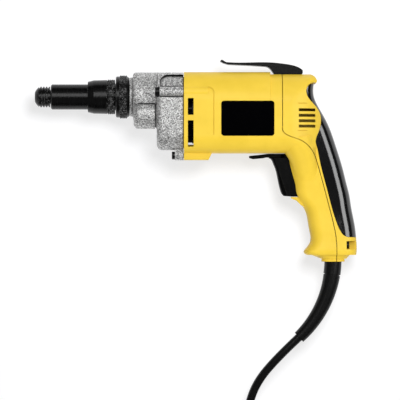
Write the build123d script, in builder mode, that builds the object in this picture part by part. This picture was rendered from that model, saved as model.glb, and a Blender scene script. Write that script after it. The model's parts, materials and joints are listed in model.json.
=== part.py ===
"""Corded electric screwdriver (screwgun) lying on its right side, in millimetres.

X runs along the drive axis with the nose at -X. Y runs up the tool, from the handle's base to the
belt hook. Z is up from the table that the tool lies on. The origin is on the table, under the
middle of the tool.
"""
import os
from math import acos, atan2, cos, degrees, pi, radians, sin, sqrt, tan

from build123d import *

os.makedirs("parts", exist_ok=True)

# Lengths along the drive axis, from the nose tip to the back of the handle's base
bit_sleeve_length = 15.0
sleeve_gap = 1.0
nose_tube_length = 36.0
collar_gap = 1.0
torque_collar_length = 27.0
lock_collar_length = 13.5
neck_gap = 0.5
neck_ring_length = 3.0
neck_length = 24.0
case_length = 27.0
barrel_length = 97.5
tail_length = 35.0
base_overhang = 40.0

# Walls and gaps of the mouldings
wall = 3.0
grip_thickness = 1.8
skin_gap = 0.1
seam_gap = 0.6
slip = 0.15

# Barrel: it fits the stator at both sides, with room for air above and below
stator_radius = 33.85
air_room = 3.65
barrel_top_radius = 29.0
barrel_bottom_radius = 17.0
barrel_width = 2 * (stator_radius + slip + wall)
barrel_height = 2 * (stator_radius + air_room + wall)

# Heights, measured up and down from the drive axis
motor_drop = 15.8
barrel_rise = barrel_height / 2 - motor_drop
barrel_drop = barrel_height - barrel_rise
hook_height = 12.3
hook_rise = barrel_rise + hook_height
cap_step = 2.3
base_drop = 164.5

# Radii of the nose pieces
bit_sleeve_radius = 10.3
bit_across_flats = 6.45
bit_holder_radius = 7.0
spindle_radius = 6.5
spring_bore = 11.0
thread_wall = 2.4
thread_radius = spring_bore + thread_wall
thread_step = 0.8
nose_tube_radius = thread_radius - thread_step
torque_collar_radius = 17.0
lock_collar_radius = 21.5
neck_ring_wall = 6.1
neck_ring_radius = thread_radius + neck_ring_wall
running = 0.03
collar_clearance = 0.3
torque_travel = 5.0

# Gears: module, teeth and profile shift
first_module = 0.75
armature_teeth = 9
idler_gear_teeth = 34
first_shift = 0.5
second_module = 1.0
idler_pinion_teeth = 12
spindle_gear_teeth = 37
second_shift = 0.35
pressure_angle = 20.0
backlash = 0.12
gear_width = 10.0

# Motor
stator_length = 42.0
armature_radius = 20.7
motor_air_gap = 0.6
stator_bore = armature_radius + motor_air_gap
armature_shaft_radius = 5.0
rear_journal_radius = 4.0
commutator_radius = 12.0
fan_radius = 31.0

# Trigger, switch and lever
trigger_half_width = 10.5
trigger_travel = 6.0
lever_thickness = 3.8
switch_half_width = 11.0

# Cord
cord_diameter = 8.4
protector_bend_radius = 107.0
protector_top_radius = 8.6
protector_tip_radius = 6.3

# Screws
screw_radius = 2.0
screw_head_radius = 4.6
upper_screw_rise = 4.5
upper_screw_inset = 5.5
upper_screw_spread = barrel_width / 2 - upper_screw_inset
lower_screw_step = 2.3
lower_screw_drop = barrel_drop + lower_screw_step
lower_screw_spread = 18.0

# Stations along the drive axis
overall_length = (
    bit_sleeve_length + sleeve_gap + nose_tube_length + collar_gap + torque_collar_length + collar_gap
    + lock_collar_length + neck_gap + neck_ring_length + neck_length + case_length + barrel_length
    + tail_length + base_overhang
)
nose_x = -overall_length / 2
nose_front_x = nose_x + bit_sleeve_length + sleeve_gap
torque_front_x = nose_front_x + nose_tube_length + collar_gap
lock_front_x = torque_front_x + torque_collar_length + collar_gap
neck_ring_x = lock_front_x + lock_collar_length + neck_gap
neck_front_x = neck_ring_x + neck_ring_length
case_front_x = neck_front_x + neck_length
housing_front_x = case_front_x + case_length
seam_x = housing_front_x + barrel_length
tail_x = seam_x + tail_length
base_back_x = tail_x + base_overhang

# Heights in the frame
axis_y = (base_drop - hook_rise) / 2
mid_z = barrel_width / 2
barrel_top = axis_y + barrel_rise
barrel_bottom = barrel_top - barrel_height
cap_top = barrel_top - cap_step
base_y = axis_y - base_drop
motor_y = axis_y - motor_drop

# The idler lies where both gear pairs reach their centre distances
first_centres = first_module * (armature_teeth + idler_gear_teeth) / 2
second_centres = second_module * (idler_pinion_teeth + spindle_gear_teeth) / 2
idler_rise = (first_centres**2 + motor_drop**2 - second_centres**2) / (2 * motor_drop)
idler_y = motor_y + idler_rise
idler_z = mid_z + sqrt(first_centres**2 - idler_rise**2)


def drive_plane(x):
    """Plane across the drive axis: local x is up the tool, local y is up from the table."""
    return Plane(origin=(x, axis_y, mid_z), x_dir=(0, 1, 0), z_dir=(1, 0, 0))


def motor_plane(x):
    """Plane across the motor axis."""
    return Plane(origin=(x, motor_y, mid_z), x_dir=(0, 1, 0), z_dir=(1, 0, 0))


def idler_plane(x):
    """Plane across the idler axis."""
    return Plane(origin=(x, idler_y, idler_z), x_dir=(0, 1, 0), z_dir=(1, 0, 0))


def level_plane(y):
    """Plane across the handle: local x is along the tool, local y is up from the table."""
    return Plane(origin=(0, y, 0), x_dir=(1, 0, 0), z_dir=(0, -1, 0))


side_plane = Plane.XY.offset(mid_z)
drive_axis = Axis((0, axis_y, mid_z), (1, 0, 0))


def save(piece, name):
    """Labels a finished piece and writes it."""
    piece.part.label = name
    export_step(piece.part, f"parts/{name}.step")


def ring(plane, length, outer, inner):
    """A plain ring on a plane, made inside the part that is open."""
    with BuildSketch(plane) as face:
        Circle(outer)
        if inner > 0:
            Circle(inner, mode=Mode.SUBTRACT)
    extrude(face.sketch, amount=length)


def bore(plane, length, radius):
    """A round hole on a plane, cut from the part that is open."""
    with BuildSketch(plane) as face:
        Circle(radius)
    extrude(face.sketch, amount=length, mode=Mode.SUBTRACT)


# Housing envelope: the outer form of both mouldings, or the same form taken in by an inset
rear_line_depth = 0.7
step_x = seam_x - 11.5
cap_overlap = 10.0

# Back edge of the tail cap seen from the side: distance behind the seam, drop below the drive axis
cap_edge = [
    (tail_length - 1.0, -13.3), (tail_length - 6.5, -13.0), (24.0, -6.0), (26.5, 2.0), (33.5, 9.8),
    (37.8, 17.0), (38.8, 24.0), (36.8, 34.0), (33.4, 44.0),
]
# Tail cap: where its level top ends, the bulge of its lip, and its outline from above
crown_length = 22.5
lip_bulge_length = tail_length - 2.8
lip_bulge_drop = 2.2
lip_drop = 7.0
cap_length = tail_length + 5.0
cap_back_half_width = 17.0
cap_taper_lead = 3.0
cap_bow_length = 24.0
cap_bow_inset = 5.0
cap_crease_radius = 10.0
# The lower handle runs from the finger rest to the base
rest_drop = 101.0
base_back = tail_length + base_overhang


def lower_drop(share):
    """Drop below the drive axis at a share of the lower handle."""
    return rest_drop + share * (base_drop - rest_drop)


# Handle sections: drop below the drive axis, front and back behind the seam, half width
handle_sections = [
    (-18.0, 8.0, tail_length - 2.6, 14.0),
    (-6.0, 8.0, tail_length - 3.5, 15.5),
    (3.0, 8.0, tail_length - 1.8, 17.0),
    (27.0, 7.0, 46.0, 18.0),
    (42.0, 6.2, 51.8, 18.0),
    (58.0, 5.6, 57.0, 17.8),
    (74.0, 8.0, 61.7, 17.4),
    (90.0, 11.8, 65.7, 17.0),
    (rest_drop, 15.0, 68.2, 16.8),
    (lower_drop(0.126), 20.9, 69.4, 16.7),
    (lower_drop(0.2835), 25.3, 71.3, 16.8),
    (lower_drop(0.5354), 28.2, base_back - 1.0, 17.5),
    (base_drop - 15.5, 26.2, base_back, 18.6),
    (base_drop - 11.0, 22.6, base_back, 19.0),
    (base_drop - 6.7, 25.0, base_back - 0.5, 17.5),
]
handle_corner = 13.0
corner_share = 0.42
# Flare that carries the barrel's sides down into the handle, in the same measures
flare_sections = [
    (40.0, -3.0, 31.0, 35.5), (56.0, 3.0, 33.5, 31.0), (64.0, 7.8, 35.0, 26.6), (72.0, 10.5, 37.0, 22.2),
    (88.0, 14.5, 41.0, 16.0),
]
# Skirt under the base that leads to the cord outlet
skirt_sections = [(base_drop - 7.5, 27.5, 69.0, 15.5), (base_drop - 2.8, 39.6, 64.8, 12.6)]
outlet_x = seam_x + 51.5
outlet_half_width = 11.5
outlet_corner = 8.0
outlet_top_y = base_y + 15.0


def tool_point(behind_seam, drop):
    """A point of the side view from its distance behind the seam and its drop below the drive axis."""
    return (seam_x + behind_seam, axis_y - drop)


def barrel_section(x, top, inset):
    """Rounded section of the barrel up to a given top, taken in by the inset."""
    with BuildSketch(Plane.YZ.offset(x)) as section:
        with Locations(((top + barrel_bottom) / 2, mid_z)):
            Rectangle(top - barrel_bottom - 2 * inset, barrel_width - 2 * inset)
        fillet(section.vertices().group_by(Axis.X)[-1], barrel_top_radius - inset)
        fillet(section.vertices().group_by(Axis.X)[0], barrel_bottom_radius - inset)
    return section.sketch


def tail_cap(inset):
    """Tail cap: what its side view, its top view and the barrel section have in common."""
    lip_points = [tool_point(x - inset, drop - inset) for x, drop in cap_edge[:2]]
    back_points = [tool_point(x - inset, drop) for x, drop in cap_edge[2:]]
    front = step_x - cap_overlap
    top = cap_top - inset
    bottom = barrel_bottom + inset
    half = barrel_width / 2 - inset
    back = seam_x + cap_length - inset
    narrow = cap_back_half_width - inset
    taper_x = seam_x - cap_taper_lead
    bow_x = seam_x + cap_bow_length - 0.6 * inset
    bow = barrel_width / 2 - cap_bow_inset - 0.8 * inset
    with BuildPart() as cap:
        with BuildSketch(side_plane):
            with BuildLine():
                crown = Line((front, top), (seam_x + crown_length - inset, top))
                lip = ThreePointArc(
                    crown @ 1,
                    (seam_x + lip_bulge_length - inset, top - lip_bulge_drop + 0.2 * inset),
                    (tail_x - inset, top - lip_drop + 1.5 * inset),
                )
                Line(lip @ 1, lip_points[0])
                Spline(lip_points + back_points)
                Polyline(back_points[-1], (back_points[-1][0], bottom), (front, bottom), (front, top))
            make_face()
        extrude(amount=barrel_width, both=True)
        with BuildSketch(Plane.XZ.offset(-barrel_top)):
            with BuildLine():
                Line((back, mid_z - narrow), (back, mid_z + narrow))
                ThreePointArc((back, mid_z + narrow), (bow_x, mid_z + bow), (taper_x, mid_z + half))
                Polyline((taper_x, mid_z + half), (front, mid_z + half), (front, mid_z - half),
                         (taper_x, mid_z - half))
                ThreePointArc((taper_x, mid_z - half), (bow_x, mid_z - bow), (back, mid_z - narrow))
            make_face()
        extrude(amount=barrel_height, both=True, mode=Mode.INTERSECT)
        extrude(barrel_section(front, cap_top, inset), amount=base_back_x - front, mode=Mode.INTERSECT)
        if inset == 0:
            creases = cap.edges().filter_by(GeomType.BSPLINE).filter_by(
                lambda edge: edge.bounding_box().min.X < seam_x + cap_bow_length / 2)
            fillet(creases, cap_crease_radius)
    return cap.part


def lofted(sections, inset):
    """One smooth form through rounded sections, taken in by the inset."""
    last = len(sections) - 1
    with BuildPart() as form:
        for index, (drop, front, back, half_width) in enumerate(sections):
            level = drop + inset if index == 0 else drop - inset if index == last else drop
            corner = min(handle_corner, corner_share * min(back - front, 2 * half_width))
            with BuildSketch(level_plane(axis_y - level)):
                with Locations((seam_x + (front + back) / 2, mid_z)):
                    RectangleRounded(back - front - 2 * inset, 2 * (half_width - inset), corner - inset)
        loft()
    return form.part


def handle_form(inset):
    """Handle with the flare at its top, and with the skirt and the cord outlet under it."""
    with BuildPart() as handle:
        add(lofted(handle_sections, inset))
        add(lofted(flare_sections, inset))
        add(lofted(skirt_sections, inset))
        with BuildSketch(level_plane(outlet_top_y)):
            with Locations((outlet_x, mid_z)):
                RectangleRounded(2 * (outlet_half_width - inset), 2 * (outlet_half_width - inset),
                                 outlet_corner - inset)
        extrude(amount=outlet_top_y - base_y - inset)
    return handle.part


def envelope(inset):
    """Both mouldings together, taken in by the inset and open at the front."""
    cap = tail_cap(inset)
    handle = handle_form(inset)
    with BuildPart() as form:
        extrude(barrel_section(housing_front_x - inset, barrel_top, inset),
                amount=step_x - housing_front_x)
        add(cap)
        add(handle)
    return form.part


outer_form = envelope(0)
inner_form = envelope(wall)
grip_bed_form = envelope(grip_thickness)
grip_back_form = envelope(grip_thickness - skin_gap)
rear_line_form = tail_cap(rear_line_depth)

# Seam between the two mouldings, seen from the side
seam_line = [
    (0.0, 31.0), (1.2, 36.0), (6.5, 39.5), (18.5, 44.0), (26.5, 50.0), (31.5, 57.0), (35.5, 68.0),
    (44.0, 99.0), (50.0, lower_drop(0.3307)), (53.6, lower_drop(0.6142)), (54.5, base_drop - 11.5),
]
# Front edge of the rubber grip below the tail cap
grip_end_drop = lower_drop(0.6173)
grip_line = [
    (34.8, 51.0), (37.5, 64.0), (44.9, 93.0), (53.3, lower_drop(0.3465)), (56.5, lower_drop(0.4724)),
    (61.2, lower_drop(0.5827)), (67.0, grip_end_drop),
]
region_margin = 60.0


def region_behind(start, line, end, shift):
    """Everything behind a side-view line, as a block wider than the tool."""
    points = [(x + shift, y + shift / 2) for x, y in [tool_point(*p) for p in line]]
    first = tool_point(*start)
    last = tool_point(*end)
    far = base_back_x + region_margin
    with BuildPart() as block:
        with BuildSketch(side_plane):
            with BuildLine():
                Line((first[0] + shift, first[1]), points[0])
                Spline(points)
                Polyline(points[-1], (last[0] + shift, last[1]), (far, last[1]), (far, first[1]),
                         (first[0] + shift, first[1]))
            make_face()
        extrude(amount=barrel_width, both=True)
    return block.part


seam_top = (0.0, -region_margin)
seam_foot = (seam_line[-1][0], base_drop + region_margin)
behind_seam = region_behind(seam_top, seam_line, seam_foot, 0)
behind_gap = region_behind(seam_top, seam_line, seam_foot, seam_gap)
grip_start = (30.0, -12.8)
grip_end = (base_back + region_margin / 2, grip_end_drop)
grip_top = [(28.0, -12.5), (25.2, -10.0), (24.0, -6.0)]
grip_block = region_behind(grip_start, grip_top + cap_edge[3:] + grip_line, grip_end, 2.5 * skin_gap)

# Places of the screws and of what they hold
joint_gap = 0.6
case_back_x = housing_front_x - joint_gap
upper_screw_y = axis_y + upper_screw_rise
lower_screw_y = axis_y - lower_screw_drop
upper_boss_radius = 5.2
boss_length = 24.0
pilot_slip = 0.05
hook_screw_x = seam_x + 9.0
base_screw_rise = 16.5
base_screw_y = base_y + base_screw_rise
base_screw_spread = 12.5
base_boss_radius = 4.0
base_boss_x = seam_x + 38.0
base_boss_length = 20.0
base_head_inset = 10.5
base_head_x = base_back_x - base_head_inset
base_head_radius = 3.6
base_head_length = 2.6
base_pocket_height = 8.0
clamp_screw_radius = 1.5
clamp_screw_spread = 9.0
clamp_screw_reach = 5.0


def along_plane(x, y, z):
    """Plane across the tool's length at a point."""
    return Plane(origin=(x, y, z), x_dir=(0, 1, 0), z_dir=(1, 0, 0))


def down_plane(x, y):
    """Plane across the handle's length at a point of the middle, facing the base."""
    return Plane(origin=(x, y, mid_z), x_dir=(1, 0, 0), z_dir=(0, -1, 0))


def paired_holes(y, spread, start_x, length, radius):
    """Two round holes along X, one on each side of the middle, cut from the part that is open."""
    for side in (-1, 1):
        bore(along_plane(start_x, y, mid_z + side * spread), length, radius)


def paired_bosses(y, spread, start_x, length, radius):
    """Two round bosses along X, one on each side of the middle, added to the part that is open."""
    for side in (-1, 1):
        ring(along_plane(start_x, y, mid_z + side * spread), length, radius, 0)


def box_between(low, high, mode):
    """A plain box between two corners, in the part that is open."""
    size = [b - a for a, b in zip(low, high)]
    middle = [(a + b) / 2 for a, b in zip(low, high)]
    with Locations(tuple(middle)):
        Box(*size, mode=mode)


def sector(inner, outer, start, sweep_angle):
    """Part of a ring between two radii and two angles."""
    with BuildSketch() as face:
        with BuildLine():
            outside = CenterArc((0, 0), outer, start, sweep_angle)
            inside = CenterArc((0, 0), inner, start, sweep_angle)
            Line(outside @ 0, inside @ 0)
            Line(outside @ 1, inside @ 1)
        make_face()
    return face.sketch


# Motor housing: barrel and front half of the handle in one moulding
foot_length = 24.5
foot_drop = 6.7
foot_half_width = 23.0
vent_x = housing_front_x + 4.0
vent_width = 5.6
vent_rows = [(2.0, 18.5), (24.0, 50.0)]
web_half = 1.2
web_room = 4.0
fan_web_drop = 47.7
# Line moulded round the front of the barrel's side: distance behind the front, rise above the drive axis
mould_line_points = [(2.0, 8.7), (29.6, 8.7), (29.6, -38.0)]
mould_line_bend = 5.5
mould_line_width = 0.7
mould_line_depth = 0.5
badge_length = 52.7
badge_height = 34.8
badge_front_x = housing_front_x + 37.0
badge_y = axis_y - 22.0
badge_corner = 3.0
badge_depth = 0.8
lever_gap = 0.5
lever_top_y = barrel_bottom - lever_gap
lever_bottom_y = lever_top_y - lever_thickness
lever_neck_half_width = 3.8
lever_swing_room = 3.8
lever_slot_half_width = lever_neck_half_width + lever_swing_room
opening_clearance = 0.4
mouth_depth = 25.0
trigger_gap = 0.5
trigger_top_y = lever_bottom_y - trigger_gap
trigger_height = 38.5
trigger_bottom_y = trigger_top_y - trigger_height
opening_top_y = trigger_top_y + opening_clearance + 0.1
opening_bottom_y = trigger_bottom_y - opening_clearance
# Finger rest seen from the side: distance behind the seam, drop below the trigger's opening
finger_rest = [(9.5, 0.0), (21.0, 0.0), (23.0, 10.0), (19.6, 8.2), (15.0, 3.6), (9.5, 1.4)]
switch_front_x = seam_x + 30.5
lever_boss_height = 2.1
switch_top_y = lever_bottom_y - lever_boss_height
switch_height = 32.0
switch_length = 17.0
rib_thickness = 4.0
rib_height = 20.0
rib_length = 3.5
rib_drop = 6.0
saddle_rise = 27.5
saddle_y = base_y + saddle_rise
saddle_height = 7.0
saddle_half_width = 12.5
cord_radius = cord_diameter / 2
inner_cord_x = outlet_x - 2.0
outlet_slip = 0.15
collar_radius = 9.5
collar_height = 3.4
collar_y = base_y + 7.2

with BuildPart() as shell:
    add(outer_form)
    add(inner_form, mode=Mode.SUBTRACT)

with BuildPart() as mould_line:
    with BuildSketch(side_plane):
        with BuildLine():
            FilletPolyline(*[(housing_front_x + x, axis_y + rise) for x, rise in mould_line_points],
                           radius=mould_line_bend)
        trace(line_width=mould_line_width)
    extrude(amount=barrel_width, both=True)
    extrude(barrel_section(housing_front_x - 1.0, barrel_top, mould_line_depth), amount=barrel_length,
            mode=Mode.SUBTRACT)


def cut_slot(start_x, length, top_drop, bottom_drop):
    """A cooling slot through both sides of the part that is open, up to the web in its middle."""
    for low_z, high_z in ((-1.0, mid_z - web_room), (mid_z + web_room, barrel_width + 1.0)):
        box_between((start_x, axis_y - bottom_drop, low_z), (start_x + length, axis_y - top_drop, high_z),
                    Mode.SUBTRACT)


# Saddle that the cord is clamped on, kept under the handle's skin
with BuildPart() as saddle:
    box_between(
        (seam_x + 29.5, saddle_y - saddle_height / 2, mid_z - saddle_half_width),
        (inner_cord_x + cord_radius + 0.4, saddle_y + saddle_height / 2, mid_z + saddle_half_width),
        Mode.ADD,
    )
    add(grip_bed_form, mode=Mode.INTERSECT)

with BuildPart() as motor_housing:
    add(shell.part)
    add(mould_line.part, mode=Mode.SUBTRACT)
    with BuildSketch(side_plane):
        with BuildLine():
            Polyline(
                (housing_front_x, barrel_bottom + wall - 1.0),
                (housing_front_x, barrel_bottom - foot_drop),
                (housing_front_x + foot_length, barrel_bottom - foot_drop),
                (housing_front_x + foot_length + 3.5, barrel_bottom + 0.5),
                (housing_front_x + foot_length + 3.5, barrel_bottom + wall - 1.0),
                close=True,
            )
        make_face()
    extrude(amount=foot_half_width, both=True)
    paired_bosses(upper_screw_y, upper_screw_spread, housing_front_x, boss_length, upper_boss_radius)
    paired_bosses(base_screw_y, base_screw_spread, base_boss_x, base_boss_length, base_boss_radius)
    # Shelf under the trigger
    with BuildSketch(side_plane):
        with BuildLine():
            Polyline(*[(seam_x + x, opening_bottom_y - drop) for x, drop in finger_rest], close=True)
        make_face()
    extrude(amount=trigger_half_width, both=True)
    # Ribs that hold the switch between the handle's sides
    for side in (-1, 1):
        rib_middle = mid_z + side * (switch_half_width + slip + rib_thickness / 2)
        box_between(
            (switch_front_x + 1.0, switch_top_y - rib_drop - rib_height, rib_middle - rib_thickness / 2),
            (switch_front_x + 1.0 + rib_length, switch_top_y - rib_drop, rib_middle + rib_thickness / 2),
            Mode.ADD,
        )
    add(saddle.part)
    box_between(
        (inner_cord_x - cord_radius - slip, saddle_y - saddle_height, mid_z - cord_radius - slip),
        (inner_cord_x + 20.0, saddle_y + saddle_height, mid_z + cord_radius + slip),
        Mode.SUBTRACT,
    )
    add(behind_seam, mode=Mode.SUBTRACT)
    # Web under the fan, and cooling slots on both sides behind the gear case
    box_between(
        (vent_x - 1.0, barrel_bottom + 1.0, mid_z - web_half),
        (vent_x + vent_width + 1.0, axis_y - fan_web_drop, mid_z + web_half),
        Mode.ADD,
    )
    for top_drop, bottom_drop in vent_rows:
        cut_slot(vent_x, vent_width, top_drop, bottom_drop)
    # Shallow seats for the side badges
    for face_z in (0.0, barrel_width - badge_depth):
        with BuildSketch(Plane.XY.offset(face_z)):
            with Locations((badge_front_x + badge_length / 2, badge_y)):
                RectangleRounded(badge_length, badge_height, badge_corner)
        extrude(amount=badge_depth, mode=Mode.SUBTRACT)
    # Mouth for the trigger and slot for the reverse lever
    box_between(
        (seam_x - 1.0, opening_bottom_y, mid_z - trigger_half_width - opening_clearance),
        (seam_x + mouth_depth, opening_top_y, mid_z + trigger_half_width + opening_clearance),
        Mode.SUBTRACT,
    )
    box_between(
        (seam_x - 1.0, lever_bottom_y - opening_clearance, mid_z - lever_slot_half_width),
        (seam_x + mouth_depth, lever_top_y + opening_clearance, mid_z + lever_slot_half_width),
        Mode.SUBTRACT,
    )
    # Cord outlet with the seat of the protector's collar
    bore(down_plane(outlet_x, collar_y + 1.0), 9.0, protector_top_radius + outlet_slip)
    bore(down_plane(outlet_x, collar_y + collar_height + slip), collar_height + 2 * slip,
         collar_radius + outlet_slip)
    paired_holes(upper_screw_y, upper_screw_spread, housing_front_x, boss_length - 4.0,
                 screw_radius + pilot_slip)
    paired_holes(lower_screw_y, lower_screw_spread, housing_front_x, foot_length - 6.0,
                 screw_radius + pilot_slip)
    paired_holes(base_screw_y, base_screw_spread, base_boss_x + 4.0, 30.0, screw_radius + pilot_slip)
    paired_holes(saddle_y, clamp_screw_spread, inner_cord_x - clamp_screw_reach - 1.0, 20.0,
                 clamp_screw_radius + pilot_slip)
save(motor_housing, "motor_housing")

# Handle cover: tail cap and back half of the handle
rear_vent_rows = [(12.1, 14.9), (17.6, 20.4), (23.0, 25.8), (28.3, 31.1)]
rear_vent_x = seam_x + 16.5
rear_vent_length = 16.5
# Short lines engraved above and below those slots: their drops
rear_line_drops = (7.0, 34.2)
rear_line_length = 8.5
rear_line_width = 0.6
pocket_inner = 8.5

with BuildPart() as grip_bed:
    add(grip_block)
    add(grip_bed_form, mode=Mode.SUBTRACT)

with BuildPart() as pocket_walls:
    for side in (-1, 1):
        low_z = mid_z + pocket_inner - 2.0 if side > 0 else mid_z - 25.0
        box_between(
            (base_head_x - 3.0, base_screw_y - base_pocket_height / 2 - 2.0, low_z),
            (base_back_x, base_screw_y + base_pocket_height / 2 + 2.0, low_z + 27.0 - pocket_inner),
            Mode.ADD,
        )
    add(outer_form, mode=Mode.INTERSECT)

# Web behind the rear slots
cover_web_drops = (8.0, 36.0)
with BuildPart() as cover_web:
    box_between(
        (rear_vent_x - 2.0, axis_y - cover_web_drops[1], mid_z - web_half),
        (base_back_x, axis_y - cover_web_drops[0], mid_z + web_half),
        Mode.ADD,
    )
    add(outer_form, mode=Mode.INTERSECT)

with BuildPart() as rear_lines:
    for drop in rear_line_drops:
        box_between(
            (rear_vent_x - 0.8, axis_y - drop - rear_line_width / 2, -1.0),
            (rear_vent_x - 0.8 + rear_line_length, axis_y - drop + rear_line_width / 2, barrel_width + 1.0),
            Mode.ADD,
        )
    add(rear_line_form, mode=Mode.SUBTRACT)

with BuildPart() as handle_cover:
    add(shell.part)
    add(pocket_walls.part)
    add(cover_web.part)
    ring(down_plane(hook_screw_x, cap_top - 1.0), 14.0, 5.0, 0)
    paired_bosses(base_screw_y, base_screw_spread, seam_x + 50.0, 13.0, base_boss_radius)
    add(behind_gap, mode=Mode.INTERSECT)
    add(grip_bed.part, mode=Mode.SUBTRACT)
    for top_drop, bottom_drop in rear_vent_rows:
        cut_slot(rear_vent_x, rear_vent_length, top_drop, bottom_drop)
    add(rear_lines.part, mode=Mode.SUBTRACT)
    for side in (-1, 1):
        low_z = mid_z + pocket_inner if side > 0 else mid_z - 25.0
        box_between(
            (base_head_x, base_screw_y - base_pocket_height / 2, low_z),
            (base_back_x + 1.0, base_screw_y + base_pocket_height / 2, low_z + 25.0 - pocket_inner),
            Mode.SUBTRACT,
        )
    bore(down_plane(outlet_x, collar_y + 1.0), 9.0, protector_top_radius + outlet_slip)
    bore(down_plane(outlet_x, collar_y + collar_height + slip), collar_height + 2 * slip,
         collar_radius + outlet_slip)
    paired_holes(base_screw_y, base_screw_spread, seam_x + 45.0, 25.0, screw_radius + pilot_slip)
    bore(down_plane(hook_screw_x, cap_top + 1.0), 14.0, screw_radius + pilot_slip)
save(handle_cover, "handle_cover")

# Rubber grip: the skin of the handle's back and of the notch for the web of the hand
with BuildPart() as grip_skin:
    add(outer_form)
    add(grip_back_form, mode=Mode.SUBTRACT)
    add(grip_block, mode=Mode.INTERSECT)
with BuildPart() as rubber_grip:
    add(grip_skin.part.solids().sort_by(SortBy.VOLUME)[-1])
save(rubber_grip, "rubber_grip")

# Side badges: plain plates sunk in their seats
badge_thickness = 0.6
badge_inset = 0.15
with BuildPart() as side_badges:
    for face_z in (badge_inset, barrel_width - badge_inset - badge_thickness):
        with BuildSketch(Plane.XY.offset(face_z)):
            with Locations((badge_front_x + badge_length / 2, badge_y)):
                RectangleRounded(badge_length - 2 * skin_gap, badge_height - 2 * skin_gap,
                                 badge_corner - skin_gap)
        extrude(amount=badge_thickness)
save(side_badges, "side_badges")

# Bit sleeve: ribbed tip that is pulled forward to let a bit go
sleeve_lip = 3.0
bit_hole_wall = 2.6
bit_hole_radius = bit_holder_radius - bit_hole_wall
sleeve_wall = 2.0
sleeve_cavity_radius = bit_sleeve_radius - sleeve_wall
sleeve_back_wall = 2.0
rib_pitch = 2.8
rib_groove_width = 1.3
rib_groove_depth = 1.2
rib_count = 4
sleeve_x = nose_x + bit_sleeve_length

with BuildPart() as bit_sleeve:
    with BuildSketch(side_plane):
        with BuildLine():
            tip = ThreePointArc(
                (nose_x, axis_y + bit_hole_radius + 0.6),
                (nose_x + 1.7, axis_y + 0.74 * bit_sleeve_radius),
                (nose_x + 4.5, axis_y + bit_sleeve_radius),
            )
            Polyline(
                tip @ 1,
                (sleeve_x, axis_y + bit_sleeve_radius),
                (sleeve_x, axis_y + bit_holder_radius + running),
                (sleeve_x - sleeve_back_wall, axis_y + bit_holder_radius + running),
                (sleeve_x - sleeve_back_wall, axis_y + sleeve_cavity_radius),
                (nose_x + sleeve_lip, axis_y + sleeve_cavity_radius),
                (nose_x + sleeve_lip, axis_y + bit_hole_radius),
                (nose_x, axis_y + bit_hole_radius),
                tip @ 0,
            )
        make_face()
    revolve(axis=drive_axis)
    with BuildSketch(side_plane):
        for index in range(rib_count):
            with Locations((sleeve_x - 1.9 - index * rib_pitch, axis_y + bit_sleeve_radius)):
                Rectangle(rib_groove_width, 2 * rib_groove_depth)
    revolve(axis=drive_axis, mode=Mode.SUBTRACT)
save(bit_sleeve, "bit_sleeve")

# Output spindle with its hexagon socket for bits
holder_front_x = nose_x + sleeve_lip + 0.2
holder_back_x = nose_front_x + 1.5
holder_flange_x = nose_x + 5.0
holder_flange_length = 1.3
holder_flange_radius = sleeve_cavity_radius - 0.3
socket_depth = 26.0
magnet_length = 4.0
pilot_radius = 3.0
pilot_length = 5.5
cam_length = 5.5
dog_length = 2.2
dog_gap = 0.3
driven_cam_x = neck_front_x - 5.5
spindle_end_x = driven_cam_x + cam_length + dog_length + dog_gap
with BuildPart() as output_spindle:
    ring(drive_plane(holder_front_x), holder_back_x - holder_front_x, bit_holder_radius, 0)
    ring(drive_plane(holder_flange_x), holder_flange_length, holder_flange_radius, 0)
    ring(drive_plane(holder_back_x), spindle_end_x - holder_back_x, spindle_radius, 0)
    with BuildSketch(drive_plane(holder_front_x)):
        RegularPolygon(bit_across_flats / 2, 6, major_radius=False)
    extrude(amount=socket_depth + magnet_length, mode=Mode.SUBTRACT)
    bore(drive_plane(spindle_end_x - pilot_length - 0.3), pilot_length + 1.0, pilot_radius + running)
save(output_spindle, "output_spindle")

# Magnet at the bottom of the socket
with BuildPart() as bit_magnet:
    ring(drive_plane(holder_front_x + socket_depth), magnet_length, bit_across_flats / 2 - 0.15, 0)
save(bit_magnet, "bit_magnet")


def coil_spring(start, direction, length, turns, mean_radius, wire_radius):
    """A round-wire compression spring along a direction."""
    with BuildPart() as spring:
        with BuildLine() as path:
            Helix(pitch=length / turns, height=length, radius=mean_radius, center=start,
                  direction=direction)
        with BuildSketch(Plane(origin=path.line @ 0, z_dir=path.line % 0)):
            Circle(wire_radius)
        sweep(is_frenet=True)
    return spring.part


# Spring that pulls the bit sleeve back
sleeve_wire = 0.4
sleeve_spring_x = holder_flange_x + holder_flange_length + sleeve_wire + 0.1
sleeve_spring_length = sleeve_x - sleeve_back_wall - 0.1 - sleeve_wire - sleeve_spring_x
sleeve_spring_radius = (bit_holder_radius + sleeve_cavity_radius) / 2
with BuildPart() as sleeve_spring:
    add(coil_spring((sleeve_spring_x, axis_y, mid_z), (1, 0, 0), sleeve_spring_length, 3.5,
                    sleeve_spring_radius, sleeve_wire))
save(sleeve_spring, "sleeve_spring")

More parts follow.
